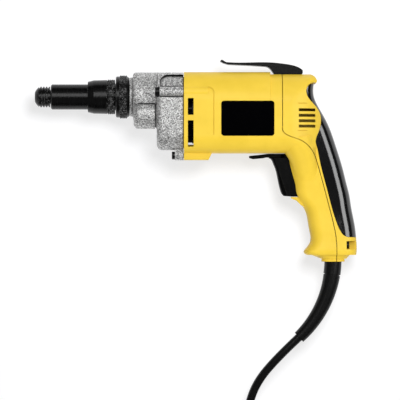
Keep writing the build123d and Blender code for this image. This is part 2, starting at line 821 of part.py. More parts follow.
# Nose housing: the smooth tube, and behind it the threaded sleeve that the collars turn on
nose_bush_outer = 9.0
nose_bush_x = nose_front_x + 4.0
nose_bush_length = 12.0
spring_bore_x = nose_bush_x + nose_bush_length + 1.0
thread_front_x = torque_front_x + 4.0
spigot_length = 10.0
nose_end_x = neck_front_x + spigot_length
lug_count = 3
lug_width = 4.0
pressure_length = 4.0
pressure_x = torque_front_x + 13.3
slot_play = 0.3
nose_chamfer = 1.2
with BuildPart() as nose_housing:
    ring(drive_plane(nose_front_x), thread_front_x - nose_front_x, nose_tube_radius, nose_bush_outer)
    ring(drive_plane(thread_front_x), nose_end_x - thread_front_x, thread_radius, nose_bush_outer)
    bore(drive_plane(spring_bore_x), nose_end_x - spring_bore_x, spring_bore)
    chamfer(nose_housing.edges().filter_by(GeomType.CIRCLE).group_by(Axis.X)[0].sort_by(
        SortBy.RADIUS)[-1], nose_chamfer)
    with BuildSketch(drive_plane(pressure_x - torque_travel - slot_play)):
        with PolarLocations(thread_radius, lug_count):
            Rectangle(8.0, lug_width + 2 * slot_play)
    extrude(amount=torque_travel + pressure_length + 2 * slot_play, mode=Mode.SUBTRACT)
save(nose_housing, "nose_housing")

# Bronze bush in the nose that the spindle runs in
with BuildPart() as nose_bush:
    ring(drive_plane(nose_bush_x), nose_bush_length, nose_bush_outer, spindle_radius + running)
save(nose_bush, "nose_bush")

# Pressure ring: its lugs reach through the nose housing into the torque collar
lug_reach = 1.5
lug_radius = thread_radius + lug_reach
lug_depth = 6.0
with BuildPart() as pressure_ring:
    with BuildSketch(drive_plane(pressure_x)):
        Circle(spring_bore - collar_clearance)
        with PolarLocations(lug_radius - lug_depth / 2, lug_count):
            Rectangle(lug_depth, lug_width)
        Circle(spindle_radius + 0.5, mode=Mode.SUBTRACT)
    extrude(amount=pressure_length)
save(pressure_ring, "pressure_ring")

# Clutch spring between the pressure ring and the driven cam
clutch_wire = 0.9
clutch_spring_x = pressure_x + pressure_length + clutch_wire + 0.1
clutch_spring_length = driven_cam_x - 0.3 - clutch_wire - clutch_spring_x
with BuildPart() as clutch_spring:
    add(coil_spring((clutch_spring_x, axis_y, mid_z), (1, 0, 0), clutch_spring_length, 5.0,
                    spring_bore - clutch_wire - 1.1, clutch_wire))
save(clutch_spring, "clutch_spring")


knurl_ring_width = 0.6


def knurl(x, length, radius, count, depth, rings):
    """Knurl cut into the rim of the part that is open: grooves along it, and rings across them."""
    with BuildSketch(drive_plane(x)) as grooves:
        with PolarLocations(radius, count):
            Rectangle(1.42 * depth, 1.42 * depth, rotation=45)
    extrude(grooves.sketch, amount=length, mode=Mode.SUBTRACT)
    with BuildSketch(side_plane) as cuts:
        for index in range(rings):
            with Locations((x + length * (index + 1) / (rings + 1), axis_y + radius)):
                Rectangle(knurl_ring_width, 1.4 * depth)
    revolve(cuts.sketch, axis=drive_axis, mode=Mode.SUBTRACT)


# Torque collar: smooth barrel with a knurled band behind
collar_bore = thread_radius + collar_clearance
collar_lip = 3.0
torque_front_step = 1.7
torque_front_radius = torque_collar_radius - torque_front_step
taper_length = 6.0
band_length = 7.0
torque_back_x = torque_front_x + torque_collar_length
band_x = torque_back_x - band_length
with BuildPart() as torque_collar:
    with BuildSketch(side_plane):
        with BuildLine():
            Polyline(
                (torque_front_x, axis_y + nose_tube_radius + collar_clearance),
                (torque_front_x, axis_y + torque_front_radius),
                (torque_front_x + taper_length, axis_y + torque_collar_radius - 0.3),
                (band_x - 1.0, axis_y + torque_collar_radius),
                (band_x - 0.4, axis_y + torque_collar_radius - 0.8),
                (band_x + 0.2, axis_y + torque_collar_radius + 0.3),
                (torque_back_x - 0.6, axis_y + torque_collar_radius + 0.3),
                (torque_back_x, axis_y + torque_collar_radius - 0.4),
                (torque_back_x, axis_y + collar_bore),
                (torque_front_x + collar_lip, axis_y + collar_bore),
                (torque_front_x + collar_lip, axis_y + nose_tube_radius + collar_clearance),
                close=True,
            )
        make_face()
    revolve(axis=drive_axis)
    ring_groove = lug_radius + collar_clearance
    bore(drive_plane(pressure_x - slot_play), pressure_length + 2 * slot_play, ring_groove)
    knurl(band_x, band_length, torque_collar_radius + 0.3, 60, 0.55, 3)
save(torque_collar, "torque_collar")

# Lock collar: large knurled ring in front of the gear case
lock_back_x = lock_front_x + lock_collar_length
with BuildPart() as lock_collar:
    with BuildSketch(side_plane):
        with BuildLine():
            Polyline(
                (lock_front_x, axis_y + collar_bore),
                (lock_front_x, axis_y + lock_collar_radius - 1.8),
                (lock_front_x + 0.8, axis_y + lock_collar_radius - 1.0),
                (lock_front_x + 3.6, axis_y + lock_collar_radius - 1.0),
                (lock_front_x + 4.2, axis_y + lock_collar_radius),
                (lock_back_x - 2.8, axis_y + lock_collar_radius),
                (lock_back_x - 2.2, axis_y + lock_collar_radius - 1.0),
                (lock_back_x, axis_y + lock_collar_radius - 2.5),
                (lock_back_x, axis_y + collar_bore),
                close=True,
            )
        make_face()
    revolve(axis=drive_axis)
    knurl(lock_front_x + 4.0, lock_collar_length - 6.6, lock_collar_radius, 72, 0.6, 4)
save(lock_collar, "lock_collar")

# Clutch cams that lock together by their dogs
cam_room = 0.4
cam_radius = spring_bore - cam_room
dog_inner = spindle_radius + 0.5
dog_sweep = 50.0
with BuildPart() as driven_cam:
    ring(drive_plane(driven_cam_x), cam_length, cam_radius, spindle_radius)
    with BuildSketch(drive_plane(driven_cam_x + cam_length)):
        with PolarLocations(0, 3):
            add(sector(dog_inner, cam_radius - 0.2, -dog_sweep / 2, dog_sweep))
    extrude(amount=dog_length)
save(driven_cam, "driven_cam")

drive_cam_x = driven_cam_x + cam_length + dog_length + dog_gap
shaft_radius = 6.0
with BuildPart() as drive_cam:
    ring(drive_plane(drive_cam_x), cam_length, cam_radius, shaft_radius)
    with BuildSketch(drive_plane(drive_cam_x)):
        with PolarLocations(0, 3, start_angle=60):
            add(sector(dog_inner, cam_radius - 0.2, -dog_sweep / 2, dog_sweep))
    extrude(amount=-dog_length)
save(drive_cam, "drive_cam")

# Drive shaft behind the clutch, in its bearing and its bush
bearing_outer = 14.0
bearing_width = 8.0
spindle_bearing_x = nose_end_x + 1.0
gear_front_x = case_front_x + 1.0
bush_length = 7.0
case_plate_thickness = 4.0
plate_x = case_back_x - case_plate_thickness
drive_bush_x = plate_x + case_plate_thickness - 0.5 - bush_length
drive_journal_radius = 4.0
with BuildPart() as drive_shaft:
    ring(drive_plane(drive_cam_x + 0.2 - pilot_length), pilot_length, pilot_radius, 0)
    ring(drive_plane(drive_cam_x + 0.2), gear_front_x + gear_width + 1.0 - drive_cam_x - 0.2,
         shaft_radius, 0)
    ring(drive_plane(drive_cam_x + cam_length), spindle_bearing_x - drive_cam_x - cam_length,
         shaft_radius + 1.2, 0)
    ring(drive_plane(gear_front_x + gear_width + 1.0),
         drive_bush_x + bush_length - gear_front_x - gear_width - 1.0, drive_journal_radius, 0)
save(drive_shaft, "drive_shaft")


def ball_bearing(plane, width, outer, inner):
    """A closed ball bearing in the part that is open, with a shallow groove at each side."""
    ring(plane, width, outer, inner)
    middle = (outer + inner) / 2
    groove = (outer - inner) / 6
    for place in (0.0, width - 0.6):
        with BuildSketch(plane.offset(place)) as face:
            Circle(middle + groove)
            Circle(middle - groove, mode=Mode.SUBTRACT)
        extrude(face.sketch, amount=0.6, mode=Mode.SUBTRACT)


with BuildPart() as spindle_bearing:
    ball_bearing(drive_plane(spindle_bearing_x), bearing_width, bearing_outer, shaft_radius + running)
save(spindle_bearing, "spindle_bearing")

bush_wall = 2.0
with BuildPart() as drive_shaft_bush:
    ring(drive_plane(drive_bush_x), bush_length, drive_journal_radius + bush_wall,
         drive_journal_radius + running)
save(drive_shaft_bush, "drive_shaft_bush")


# Gears with involute teeth
def involute(angle):
    """Involute function of an angle in radians."""
    return tan(angle) - angle


def gear_face(teeth, module, shift, phase):
    """Outline of a spur gear with one tooth centred on the phase angle."""
    pitch_radius = module * teeth / 2
    flank_angle = radians(pressure_angle)
    base_radius = pitch_radius * cos(flank_angle)
    root_radius = pitch_radius - module * (1.25 - shift)
    tip_radius = pitch_radius + module * (1 + shift)
    start_radius = max(base_radius, root_radius)
    half_tooth = pi / (2 * teeth) + 2 * shift * tan(flank_angle) / teeth - backlash / 4 / pitch_radius
    flank = []
    for step in range(5):
        radius = start_radius + (tip_radius - start_radius) * step / 4
        half = half_tooth + involute(flank_angle) - involute(acos(min(1.0, base_radius / radius)))
        flank.append((radius * cos(half), radius * sin(half)))
    mirrored = [(x, -y) for x, y in flank]
    foot_half = atan2(flank[0][1], flank[0][0])
    foot = (0.9 * root_radius * cos(foot_half), 0.9 * root_radius * sin(foot_half))
    with BuildSketch() as tooth:
        with BuildLine():
            Spline(flank)
            ThreePointArc(flank[-1], (tip_radius, 0), mirrored[-1])
            Spline(mirrored)
            Polyline(mirrored[0], (foot[0], -foot[1]), foot, flank[0])
        make_face()
    with BuildSketch() as face:
        Circle(root_radius)
        with PolarLocations(0, teeth, start_angle=phase):
            add(tooth.sketch)
    return face.sketch


to_idler = degrees(atan2(idler_z - mid_z, idler_y - motor_y))
to_drive = degrees(atan2(mid_z - idler_z, axis_y - idler_y))
idler_gear_phase = to_idler + 180 + 180 / idler_gear_teeth
spindle_gear_phase = to_drive + 180 + 180 / spindle_gear_teeth
idler_shaft_radius = 4.0
idler_gear_x = gear_front_x + gear_width + 3.0
idler_gear_width = 7.0
armature_nose_radius = 1.98

with BuildPart() as spindle_gear:
    with BuildSketch(drive_plane(gear_front_x)):
        add(gear_face(spindle_gear_teeth, second_module, -second_shift, spindle_gear_phase))
        Circle(shaft_radius, mode=Mode.SUBTRACT)
    extrude(amount=gear_width)
save(spindle_gear, "spindle_gear")

with BuildPart() as idler_pinion:
    with BuildSketch(idler_plane(gear_front_x)):
        add(gear_face(idler_pinion_teeth, second_module, second_shift, to_drive))
        Circle(idler_shaft_radius, mode=Mode.SUBTRACT)
    extrude(amount=gear_width)
save(idler_pinion, "idler_pinion")

with BuildPart() as idler_gear:
    with BuildSketch(idler_plane(idler_gear_x)):
        add(gear_face(idler_gear_teeth, first_module, -first_shift, idler_gear_phase))
        Circle(idler_shaft_radius, mode=Mode.SUBTRACT)
    extrude(amount=idler_gear_width)
save(idler_gear, "idler_gear")

armature_pinion_x = idler_gear_x - 1.0
with BuildPart() as armature_pinion:
    with BuildSketch(motor_plane(armature_pinion_x)):
        add(gear_face(armature_teeth, first_module, first_shift, to_idler))
        Circle(armature_nose_radius, mode=Mode.SUBTRACT)
    extrude(amount=idler_gear_width + 2.0)
save(armature_pinion, "armature_pinion")

# Idler shaft and its two bushes
front_bush_length = 10.0
front_bush_x = neck_front_x + 6.0
rear_bush_length = 5.0
rear_bush_x = plate_x + case_plate_thickness - rear_bush_length
idler_bush_radius = 6.5
with BuildPart() as idler_shaft:
    ring(idler_plane(front_bush_x - 0.5), rear_bush_x + rear_bush_length - front_bush_x + 0.5,
         idler_shaft_radius, 0)
    ring(idler_plane(gear_front_x + gear_width), idler_gear_x - gear_front_x - gear_width,
         idler_shaft_radius + 2.0, 0)
save(idler_shaft, "idler_shaft")

with BuildPart() as idler_bushes:
    ring(idler_plane(front_bush_x), front_bush_length, idler_bush_radius, idler_shaft_radius + running)
    ring(idler_plane(rear_bush_x), rear_bush_length, idler_bush_radius, idler_shaft_radius + running)
save(idler_bushes, "idler_bushes")

# Gear case: aluminium casting with the spindle neck, the idler lobe and the screw bosses
case_top_step = 2.6
case_top = barrel_top - case_top_step
case_bottom_step = 3.3
case_bottom = barrel_bottom + case_bottom_step
case_side_step = 3.0
case_half_width = barrel_width / 2 - case_side_step
case_top_radius = 26.0
case_bottom_radius = 16.0
case_wall = 4.0
case_edge = 5.0
neck_edge = 3.0
neck_wall = 4.7
lobe_edge = 5.0
lobe_wall = 7.0
lobe_groove_lead = 0.6
lobe_groove_width = 1.3
lobe_groove_depth = 1.4
# Grooves along the lobe, where it meets the neck, and along the bosses of the upper screws
outline_width = 1.0
outline_bite = 0.3
outline_depth = 1.3
lobe_radius = idler_bush_radius + lobe_wall
gear_room = 0.65
spindle_gear_tip = second_module * (spindle_gear_teeth / 2 + 1 - second_shift)
neck_cavity_radius = spindle_gear_tip + gear_room
neck_radius = neck_cavity_radius + neck_wall
plate_ledge = 2.0
upper_head_x = case_front_x - 1.5
upper_seat_x = case_front_x + 3.0
case_boss_radius = 5.0
lower_seat_x = case_front_x + 18.0
lower_boss_radius = 4.5
rim_height = 2.1
rim_rise = 9.0
rim_front_x = case_front_x + 1.0
rim_room = 30.0
pocket_front_x = case_front_x + 3.2
pocket_rise = 21.8
pocket_corner = 8.0


def case_section(x, inset):
    """Rounded section of the gear case, taken in by the inset."""
    with BuildSketch(Plane.YZ.offset(x)) as section:
        with Locations(((case_top + case_bottom) / 2, mid_z)):
            Rectangle(case_top - case_bottom - 2 * inset, 2 * (case_half_width - inset))
        fillet(section.vertices().group_by(Axis.X)[-1], case_top_radius - inset)
        fillet(section.vertices().group_by(Axis.X)[0], case_bottom_radius - inset)
    return section.sketch


with BuildPart() as idler_lobe:
    ring(idler_plane(neck_front_x + 1.0), neck_length, lobe_radius, 0)
    fillet(idler_lobe.edges().group_by(Axis.X)[0], lobe_edge)
    with BuildSketch(idler_plane(case_front_x - lobe_groove_lead - lobe_groove_width)):
        Circle(lobe_radius + 1.0)
        Circle(lobe_radius - lobe_groove_depth, mode=Mode.SUBTRACT)
    extrude(amount=lobe_groove_width, mode=Mode.SUBTRACT)

with BuildPart() as spindle_neck:
    ring(drive_plane(neck_front_x), neck_length + 3.0, neck_radius, 0)
    fillet(spindle_neck.edges().group_by(Axis.X)[0], neck_edge)

with BuildPart() as neck_skin:
    ring(drive_plane(neck_front_x), neck_length, neck_radius + outline_depth, neck_radius - outline_depth)

with BuildPart() as lobe_outline:
    ring(idler_plane(neck_front_x + lobe_edge),
         neck_length - lobe_edge - lobe_groove_lead - lobe_groove_width / 2,
         lobe_radius + outline_width - outline_bite, lobe_radius - outline_bite)
    add(neck_skin.part, mode=Mode.INTERSECT)

with BuildPart() as boss_outlines:
    for side in (-1, 1):
        ring(along_plane(upper_seat_x + outline_bite, upper_screw_y, mid_z + side * upper_screw_spread),
             case_back_x - upper_seat_x, case_boss_radius + outline_width, case_boss_radius - outline_bite)
    extrude(case_section(case_front_x, outline_depth), amount=case_length, mode=Mode.SUBTRACT)
    extrude(case_section(case_front_x, -outline_bite), amount=case_length, mode=Mode.INTERSECT)

# Raised rim above and before the pockets of the upper screws
with BuildPart() as case_rim:
    extrude(case_section(rim_front_x, -rim_height), amount=case_back_x - rim_front_x)
    with BuildSketch(side_plane):
        with BuildLine():
            edge = FilletPolyline(
                (case_back_x, axis_y + pocket_rise),
                (pocket_front_x, axis_y + pocket_rise),
                (pocket_front_x, axis_y + rim_rise),
                radius=pocket_corner,
            )
            Polyline(edge @ 1, (rim_front_x, axis_y + rim_rise), (rim_front_x, axis_y + rim_room),
                     (case_back_x, axis_y + rim_room), edge @ 0)
        make_face()
    extrude(amount=barrel_width, both=True, mode=Mode.INTERSECT)

with BuildPart() as gear_case:
    extrude(case_section(case_front_x, 0), amount=case_back_x - case_front_x)
    fillet(gear_case.faces().sort_by(Axis.X)[0].edges(), case_edge)
    add(case_rim.part)
    add(spindle_neck.part)
    add(idler_lobe.part)
    ring(drive_plane(neck_ring_x), neck_ring_length + 1.0, neck_ring_radius, 0)
    # Inside: spigot, bearing, gears and the ledge of the bearing plate
    bore(drive_plane(neck_ring_x - 1.0), nose_end_x - neck_ring_x + 1.0, thread_radius)
    bore(drive_plane(nose_end_x), bearing_width + 1.5, bearing_outer)
    bore(drive_plane(nose_end_x), case_front_x - nose_end_x, shaft_radius + 3.0)
    bore(drive_plane(case_front_x - 1.0), gear_width + 3.0, neck_cavity_radius)
    bore(idler_plane(front_bush_x - 1.0), case_front_x - front_bush_x, idler_bush_radius)
    bore(idler_plane(case_front_x - 2.0), case_wall + 4.0, idler_bush_radius + 2.5)
    extrude(case_section(case_front_x + case_wall, case_wall), amount=case_length, mode=Mode.SUBTRACT)
    extrude(case_section(plate_x, plate_ledge), amount=case_length, mode=Mode.SUBTRACT)
    paired_bosses(upper_screw_y, upper_screw_spread, upper_seat_x, case_back_x - upper_seat_x,
                  case_boss_radius)
    paired_bosses(lower_screw_y, lower_screw_spread, lower_seat_x, case_back_x - lower_seat_x,
                  lower_boss_radius)
    add(lobe_outline.part, mode=Mode.SUBTRACT)
    add(boss_outlines.part, mode=Mode.SUBTRACT)
    for side in (-1, 1):
        web_middle = mid_z + side * lower_screw_spread
        box_between(
            (lower_seat_x, lower_screw_y, web_middle - lower_boss_radius),
            (case_back_x, case_bottom + 1.5, web_middle + lower_boss_radius),
            Mode.ADD,
        )
    paired_holes(upper_screw_y, upper_screw_spread, case_front_x - 5.0, 5.0 + upper_seat_x - case_front_x,
                 screw_head_radius + 0.5)
    paired_holes(upper_screw_y, upper_screw_spread, case_front_x, case_length, screw_radius + pilot_slip)
    paired_holes(lower_screw_y, lower_screw_spread, case_front_x, case_length, screw_radius + pilot_slip)
save(gear_case, "gear_case")


def socket_screw(seat_x, y, z, head_radius, head_length, end_x, radius):
    """A socket-head screw along X in the part that is open, its head in front of the seat."""
    ring(along_plane(seat_x - head_length, y, z), head_length, head_radius, 0)
    ring(along_plane(seat_x, y, z), end_x - seat_x, radius, 0)
    with BuildSketch(along_plane(seat_x - head_length, y, z)) as key:
        RegularPolygon(0.5 * head_radius, 6)
    extrude(key.sketch, amount=0.6 * head_length, mode=Mode.SUBTRACT)


with BuildPart() as gear_case_screws:
    for side in (-1, 1):
        socket_screw(upper_seat_x, upper_screw_y, mid_z + side * upper_screw_spread, screw_head_radius,
                     upper_seat_x - upper_head_x, housing_front_x + boss_length - 5.0, screw_radius)
        socket_screw(lower_seat_x, lower_screw_y, mid_z + side * lower_screw_spread,
                     screw_head_radius - 0.9, 3.0, housing_front_x + foot_length - 7.0, screw_radius)
save(gear_case_screws, "gear_case_screws")

# Bearing plate between the gears and the motor
motor_bearing_outer = 13.0
motor_bearing_width = 8.0
bearing_boss_wall = 2.5
bush_boss_radius = 8.5
# The plate stands out of the case and nearly closes the joint
plate_reach = joint_gap - 0.15
with BuildPart() as bearing_plate:
    extrude(case_section(plate_x, plate_ledge + slip), amount=case_plate_thickness + plate_reach)
    ring(drive_plane(drive_bush_x), plate_x - drive_bush_x + 1.0, bush_boss_radius, 0)
    ring(idler_plane(rear_bush_x), plate_x - rear_bush_x + 1.0, bush_boss_radius, 0)
    ring(motor_plane(case_back_x), motor_bearing_width + 1.0, motor_bearing_outer + bearing_boss_wall, 0)
    bore(drive_plane(drive_bush_x - 1.0), bush_length + 5.0, drive_journal_radius + bush_wall)
    bore(idler_plane(rear_bush_x - 1.0), rear_bush_length + 5.0, idler_bush_radius)
    bore(motor_plane(plate_x - 1.0), case_plate_thickness + 3.0, armature_shaft_radius + 0.8)
    bore(motor_plane(case_back_x + 1.0), motor_bearing_width + 1.0, motor_bearing_outer)
    paired_holes(upper_screw_y, upper_screw_spread, plate_x - 1.0, case_plate_thickness + 2.0,
                 case_boss_radius + slip)
save(bearing_plate, "bearing_plate")

# Armature: shaft, laminated core, windings, commutator and fan turn together
stator_x = housing_front_x + 25.0
stator_end_x = stator_x + stator_length
commutator_x = stator_end_x + 9.5
commutator_length = 14.0
bracket_x = seam_x - 5.5
bracket_thickness = 4.0
rear_bearing_x = bracket_x + 3.0
rear_bearing_width = 7.0
rear_bearing_outer = 11.0
end_turn = 7.0
slot_count = 12
slot_depth = 5.2
slot_radius = armature_radius - slot_depth
end_turn_radius = armature_radius - 2.2
with BuildPart() as armature_shaft:
    ring(motor_plane(armature_pinion_x), idler_gear_width + 3.0, armature_nose_radius, 0)
    ring(motor_plane(armature_pinion_x + idler_gear_width + 2.2),
         bracket_x - armature_pinion_x - idler_gear_width - 2.2, armature_shaft_radius, 0)
    ring(motor_plane(bracket_x), rear_bearing_x + rear_bearing_width - bracket_x, rear_journal_radius, 0)
save(armature_shaft, "armature_shaft")

with BuildPart() as armature_core:
    with BuildSketch(motor_plane(stator_x)):
        Circle(armature_radius)
        Circle(armature_shaft_radius, mode=Mode.SUBTRACT)
        with PolarLocations(slot_radius, slot_count):
            Rectangle(6.8, 3.4, mode=Mode.SUBTRACT)
        with PolarLocations(armature_radius, slot_count):
            Rectangle(5.0, 1.6, mode=Mode.SUBTRACT)
    extrude(amount=stator_length)
save(armature_core, "armature_core")

with BuildPart() as armature_windings:
    with BuildSketch(motor_plane(stator_x - end_turn)):
        with PolarLocations(slot_radius, slot_count):
            Rectangle(6.4, 3.0)
    extrude(amount=stator_length + 2 * end_turn)
    ring(motor_plane(stator_x - end_turn), end_turn - 0.1, end_turn_radius, armature_shaft_radius)
    ring(motor_plane(stator_end_x + 0.1), end_turn - 0.1, end_turn_radius, armature_shaft_radius)
save(armature_windings, "armature_windings")

with BuildPart() as commutator:
    ring(motor_plane(commutator_x), commutator_length, commutator_radius, armature_shaft_radius)
    ring(motor_plane(commutator_x - 2.5), 2.5, commutator_radius + 1.0, armature_shaft_radius)
    with BuildSketch(motor_plane(commutator_x)):
        with PolarLocations(commutator_radius, 2 * slot_count):
            Rectangle(2.0, 0.5)
    extrude(amount=commutator_length, mode=Mode.SUBTRACT)
save(commutator, "commutator")

fan_front_x = housing_front_x + 2.0
fan_disc_x = housing_front_x + 10.5
fan_blades = 13
fan_rim_length = 2.3
fan_rim_room = 1.0
blade_depth = 12.4
blade_rim = 0.5
blade_middle = fan_radius - blade_rim - blade_depth / 2
with BuildPart() as cooling_fan:
    ring(motor_plane(fan_disc_x), 2.0, fan_radius, armature_shaft_radius)
    ring(motor_plane(fan_disc_x), 6.0, armature_shaft_radius + 4.0, armature_shaft_radius)
    ring(motor_plane(fan_disc_x - fan_rim_length), fan_rim_length + 1.0, fan_radius - blade_rim / 2,
         motor_bearing_outer + bearing_boss_wall + fan_rim_room)
    with BuildSketch(motor_plane(fan_front_x)):
        with PolarLocations(blade_middle, fan_blades):
            Rectangle(blade_depth, 1.6)
    extrude(amount=fan_disc_x - fan_front_x)
save(cooling_fan, "cooling_fan")

# Field: laminated core between the housing's sides, and a coil round each pole
yoke_thickness = 5.35
yoke_radius = stator_radius - yoke_thickness
pole_half_angle = 50.0
coil_half_angle = 86.0
coil_overhang = 8.0
with BuildPart() as stator_core:
    with BuildSketch(motor_plane(stator_x)):
        Circle(stator_radius)
        Circle(yoke_radius, mode=Mode.SUBTRACT)
        with PolarLocations(0, 2):
            add(sector(stator_bore, yoke_radius + 0.5, -pole_half_angle, 2 * pole_half_angle))
    extrude(amount=stator_length)
save(stator_core, "stator_core")

with BuildPart() as field_coils:
    with BuildSketch(motor_plane(stator_x - coil_overhang)):
        with PolarLocations(0, 2):
            add(sector(stator_bore + 0.8, yoke_radius - 0.2, -coil_half_angle, 2 * coil_half_angle))
    extrude(amount=stator_length + 2 * coil_overhang)
    with BuildSketch(motor_plane(stator_x - 0.1)):
        with PolarLocations(0, 2):
            add(sector(stator_bore - 1.0, yoke_radius + 1.0, -pole_half_angle - 0.6,
                       2 * pole_half_angle + 1.2))
    extrude(amount=stator_length + 0.2, mode=Mode.SUBTRACT)
save(field_coils, "field_coils")

with BuildPart() as front_bearing:
    ball_bearing(motor_plane(case_back_x + 1.0), motor_bearing_width, motor_bearing_outer,
                 armature_shaft_radius + running)
save(front_bearing, "front_bearing")

with BuildPart() as rear_bearing:
    ball_bearing(motor_plane(rear_bearing_x), rear_bearing_width, rear_bearing_outer,
                 rear_journal_radius + running)
save(rear_bearing, "rear_bearing")

# Rear bracket: carries the rear bearing and the brush holders
hub_radius = 13.5
with BuildPart() as rear_bracket:
    extrude(barrel_section(bracket_x, cap_top, wall + 2 * slip), amount=bracket_thickness)
    ring(motor_plane(bracket_x), rear_bearing_x + rear_bearing_width + 0.5 - bracket_x, hub_radius, 0)
    bore(motor_plane(bracket_x), bracket_thickness, armature_shaft_radius + 2.0)
    bore(motor_plane(rear_bearing_x), rear_bearing_width + 1.0, rear_bearing_outer)
    with BuildSketch(motor_plane(bracket_x)):
        with PolarLocations(24.0, 4, start_angle=45):
            SlotOverall(16.0, 7.0, rotation=90)
    extrude(amount=bracket_thickness, mode=Mode.SUBTRACT)
save(rear_bracket, "rear_bracket")

# Brushes in their holders on both sides of the commutator
brush_x = commutator_x + 7.0
holder_half = 4.5
holder_wall = 1.0
holder_end = commutator_radius + 18.0
brush_half = holder_half - holder_wall - 0.1
brush_end = commutator_radius + 12.0
with BuildPart() as brush_holders:
    for side in (-1, 1):
        with BuildSketch(Plane.XY.offset(mid_z + side * (commutator_radius + 1.5))):
            with Locations((brush_x, motor_y)):
                Rectangle(2 * holder_half, 2 * holder_half)
                Rectangle(2 * (holder_half - holder_wall), 2 * (holder_half - holder_wall),
                          mode=Mode.SUBTRACT)
        extrude(amount=side * (holder_end - commutator_radius - 1.5))
        with BuildSketch(Plane.XY.offset(mid_z + side * holder_end)):
            with Locations((brush_x, motor_y)):
                Rectangle(2 * holder_half, 2 * holder_half)
        extrude(amount=-side * holder_wall)
        with BuildSketch(Plane.XY.offset(mid_z + side * 16.0)):
            with Locations(((brush_x + holder_half + bracket_x) / 2, motor_y)):
                Rectangle(bracket_x - brush_x - holder_half, 8.0)
        extrude(amount=side * 12.0)
save(brush_holders, "brush_holders")

with BuildPart() as carbon_brushes:
    for side in (-1, 1):
        with BuildSketch(Plane.XY.offset(mid_z + side * (commutator_radius + 0.1))):
            with Locations((brush_x, motor_y)):
                Rectangle(2 * brush_half, 2 * brush_half)
        extrude(amount=side * (brush_end - commutator_radius - 0.1))
save(carbon_brushes, "carbon_brushes")

brush_wire = 0.35
with BuildPart() as brush_springs:
    for side in (-1, 1):
        add(coil_spring((brush_x, motor_y, mid_z + side * (brush_end + brush_wire + 0.1)), (0, 0, side),
                        holder_end - holder_wall - brush_end - 2 * brush_wire - 0.2, 4.0, 2.3, brush_wire))
save(brush_springs, "brush_springs")

# Trigger: two-finger paddle kept in the handle by a flange behind the front wall
trigger_drop = axis_y - trigger_top_y
trigger_end = axis_y - trigger_bottom_y
trigger_front = [
    (-13.5, trigger_drop), (-10.6, trigger_drop + 1.4), (-8.5, trigger_drop + 5.6),
    (-6.5, trigger_drop + 10.6), (-4.5, trigger_drop + 18.6), (-1.5, trigger_end - 6.6),
    (-0.4, trigger_end - 3.4),
]
trigger_round = 5.0
# The sides step in behind a line down the paddle
trigger_step = 0.6
trigger_step_line = [(-8.3, trigger_drop - 2.4), (7.3, trigger_end + 3.1)]
flange_reach = 1.4
flange_half_width = trigger_half_width + flange_reach
flange_thickness = 2.0
flange_top = (14.8, trigger_drop + 1.1)
flange_bottom = (21.8, trigger_end - 1.6)
with BuildPart() as trigger:
    front_points = [tool_point(*p) for p in trigger_front]
    with BuildSketch(side_plane):
        with BuildLine():
            Spline(front_points)
            Polyline(front_points[-1], tool_point(2.0, trigger_end - 0.6), tool_point(10.5, trigger_end),
                     tool_point(flange_bottom[0] + 0.2, trigger_end),
                     tool_point(flange_top[0] + 0.5, trigger_drop), front_points[0])
        make_face()
    extrude(amount=trigger_half_width, both=True)
    fillet(trigger.edges().filter_by(GeomType.BSPLINE), trigger_round)
    for step_z in (mid_z - trigger_half_width, mid_z + trigger_half_width - trigger_step):
        with BuildSketch(Plane.XY.offset(step_z)):
            with BuildLine():
                step_top, step_foot = [tool_point(*p) for p in trigger_step_line]
                Polyline(step_top, step_foot, (seam_x + mouth_depth, step_foot[1]),
                         (seam_x + mouth_depth, step_top[1]), close=True)
            make_face()
        extrude(amount=trigger_step, mode=Mode.SUBTRACT)
    with BuildSketch(side_plane):
        with BuildLine():
            Polyline(
                tool_point(*flange_top),
                tool_point(flange_top[0] + flange_thickness, flange_top[1]),
                tool_point(flange_bottom[0] + flange_thickness, flange_bottom[1]),
                tool_point(*flange_bottom),
                close=True,
            )
        make_face()
    extrude(amount=flange_half_width, both=True)
save(trigger, "trigger")

# Plunger between the trigger and the switch
plunger_radius = 3.0
plunger_drop = 17.6
plunger_y = trigger_top_y - plunger_drop
plunger_front_x = seam_x + 20.95
plunger_reach = 2.5
with BuildPart() as trigger_plunger:
    ring(along_plane(plunger_front_x, plunger_y, mid_z), switch_front_x + plunger_reach - plunger_front_x,
         plunger_radius, 0)
save(trigger_plunger, "trigger_plunger")

# Switch with the pin that the reverse lever turns on
lever_pivot_x = switch_front_x + 3.0
lever_pin_radius = 2.0
with BuildPart() as switch_body:
    box_between(
        (switch_front_x, switch_top_y - switch_height, mid_z - switch_half_width),
        (switch_front_x + switch_length, switch_top_y, mid_z + switch_half_width),
        Mode.ADD,
    )
    ring(down_plane(lever_pivot_x, lever_bottom_y - 0.3), lever_bottom_y - 0.3 - switch_top_y, 3.0, 0)
    ring(down_plane(lever_pivot_x, lever_top_y + 0.4), lever_top_y + 0.4 - switch_top_y,
         lever_pin_radius, 0)
    bore(along_plane(switch_front_x, plunger_y, mid_z), plunger_reach + trigger_travel + 1.5,
         plunger_radius + 0.3)
save(switch_body, "switch_body")

# Reverse lever: thin lever above the trigger with a ribbed tip
lever_tip_x = seam_x - 32.5
lever_shoulder_x = seam_x - 19.5
lever_droop = 1.6
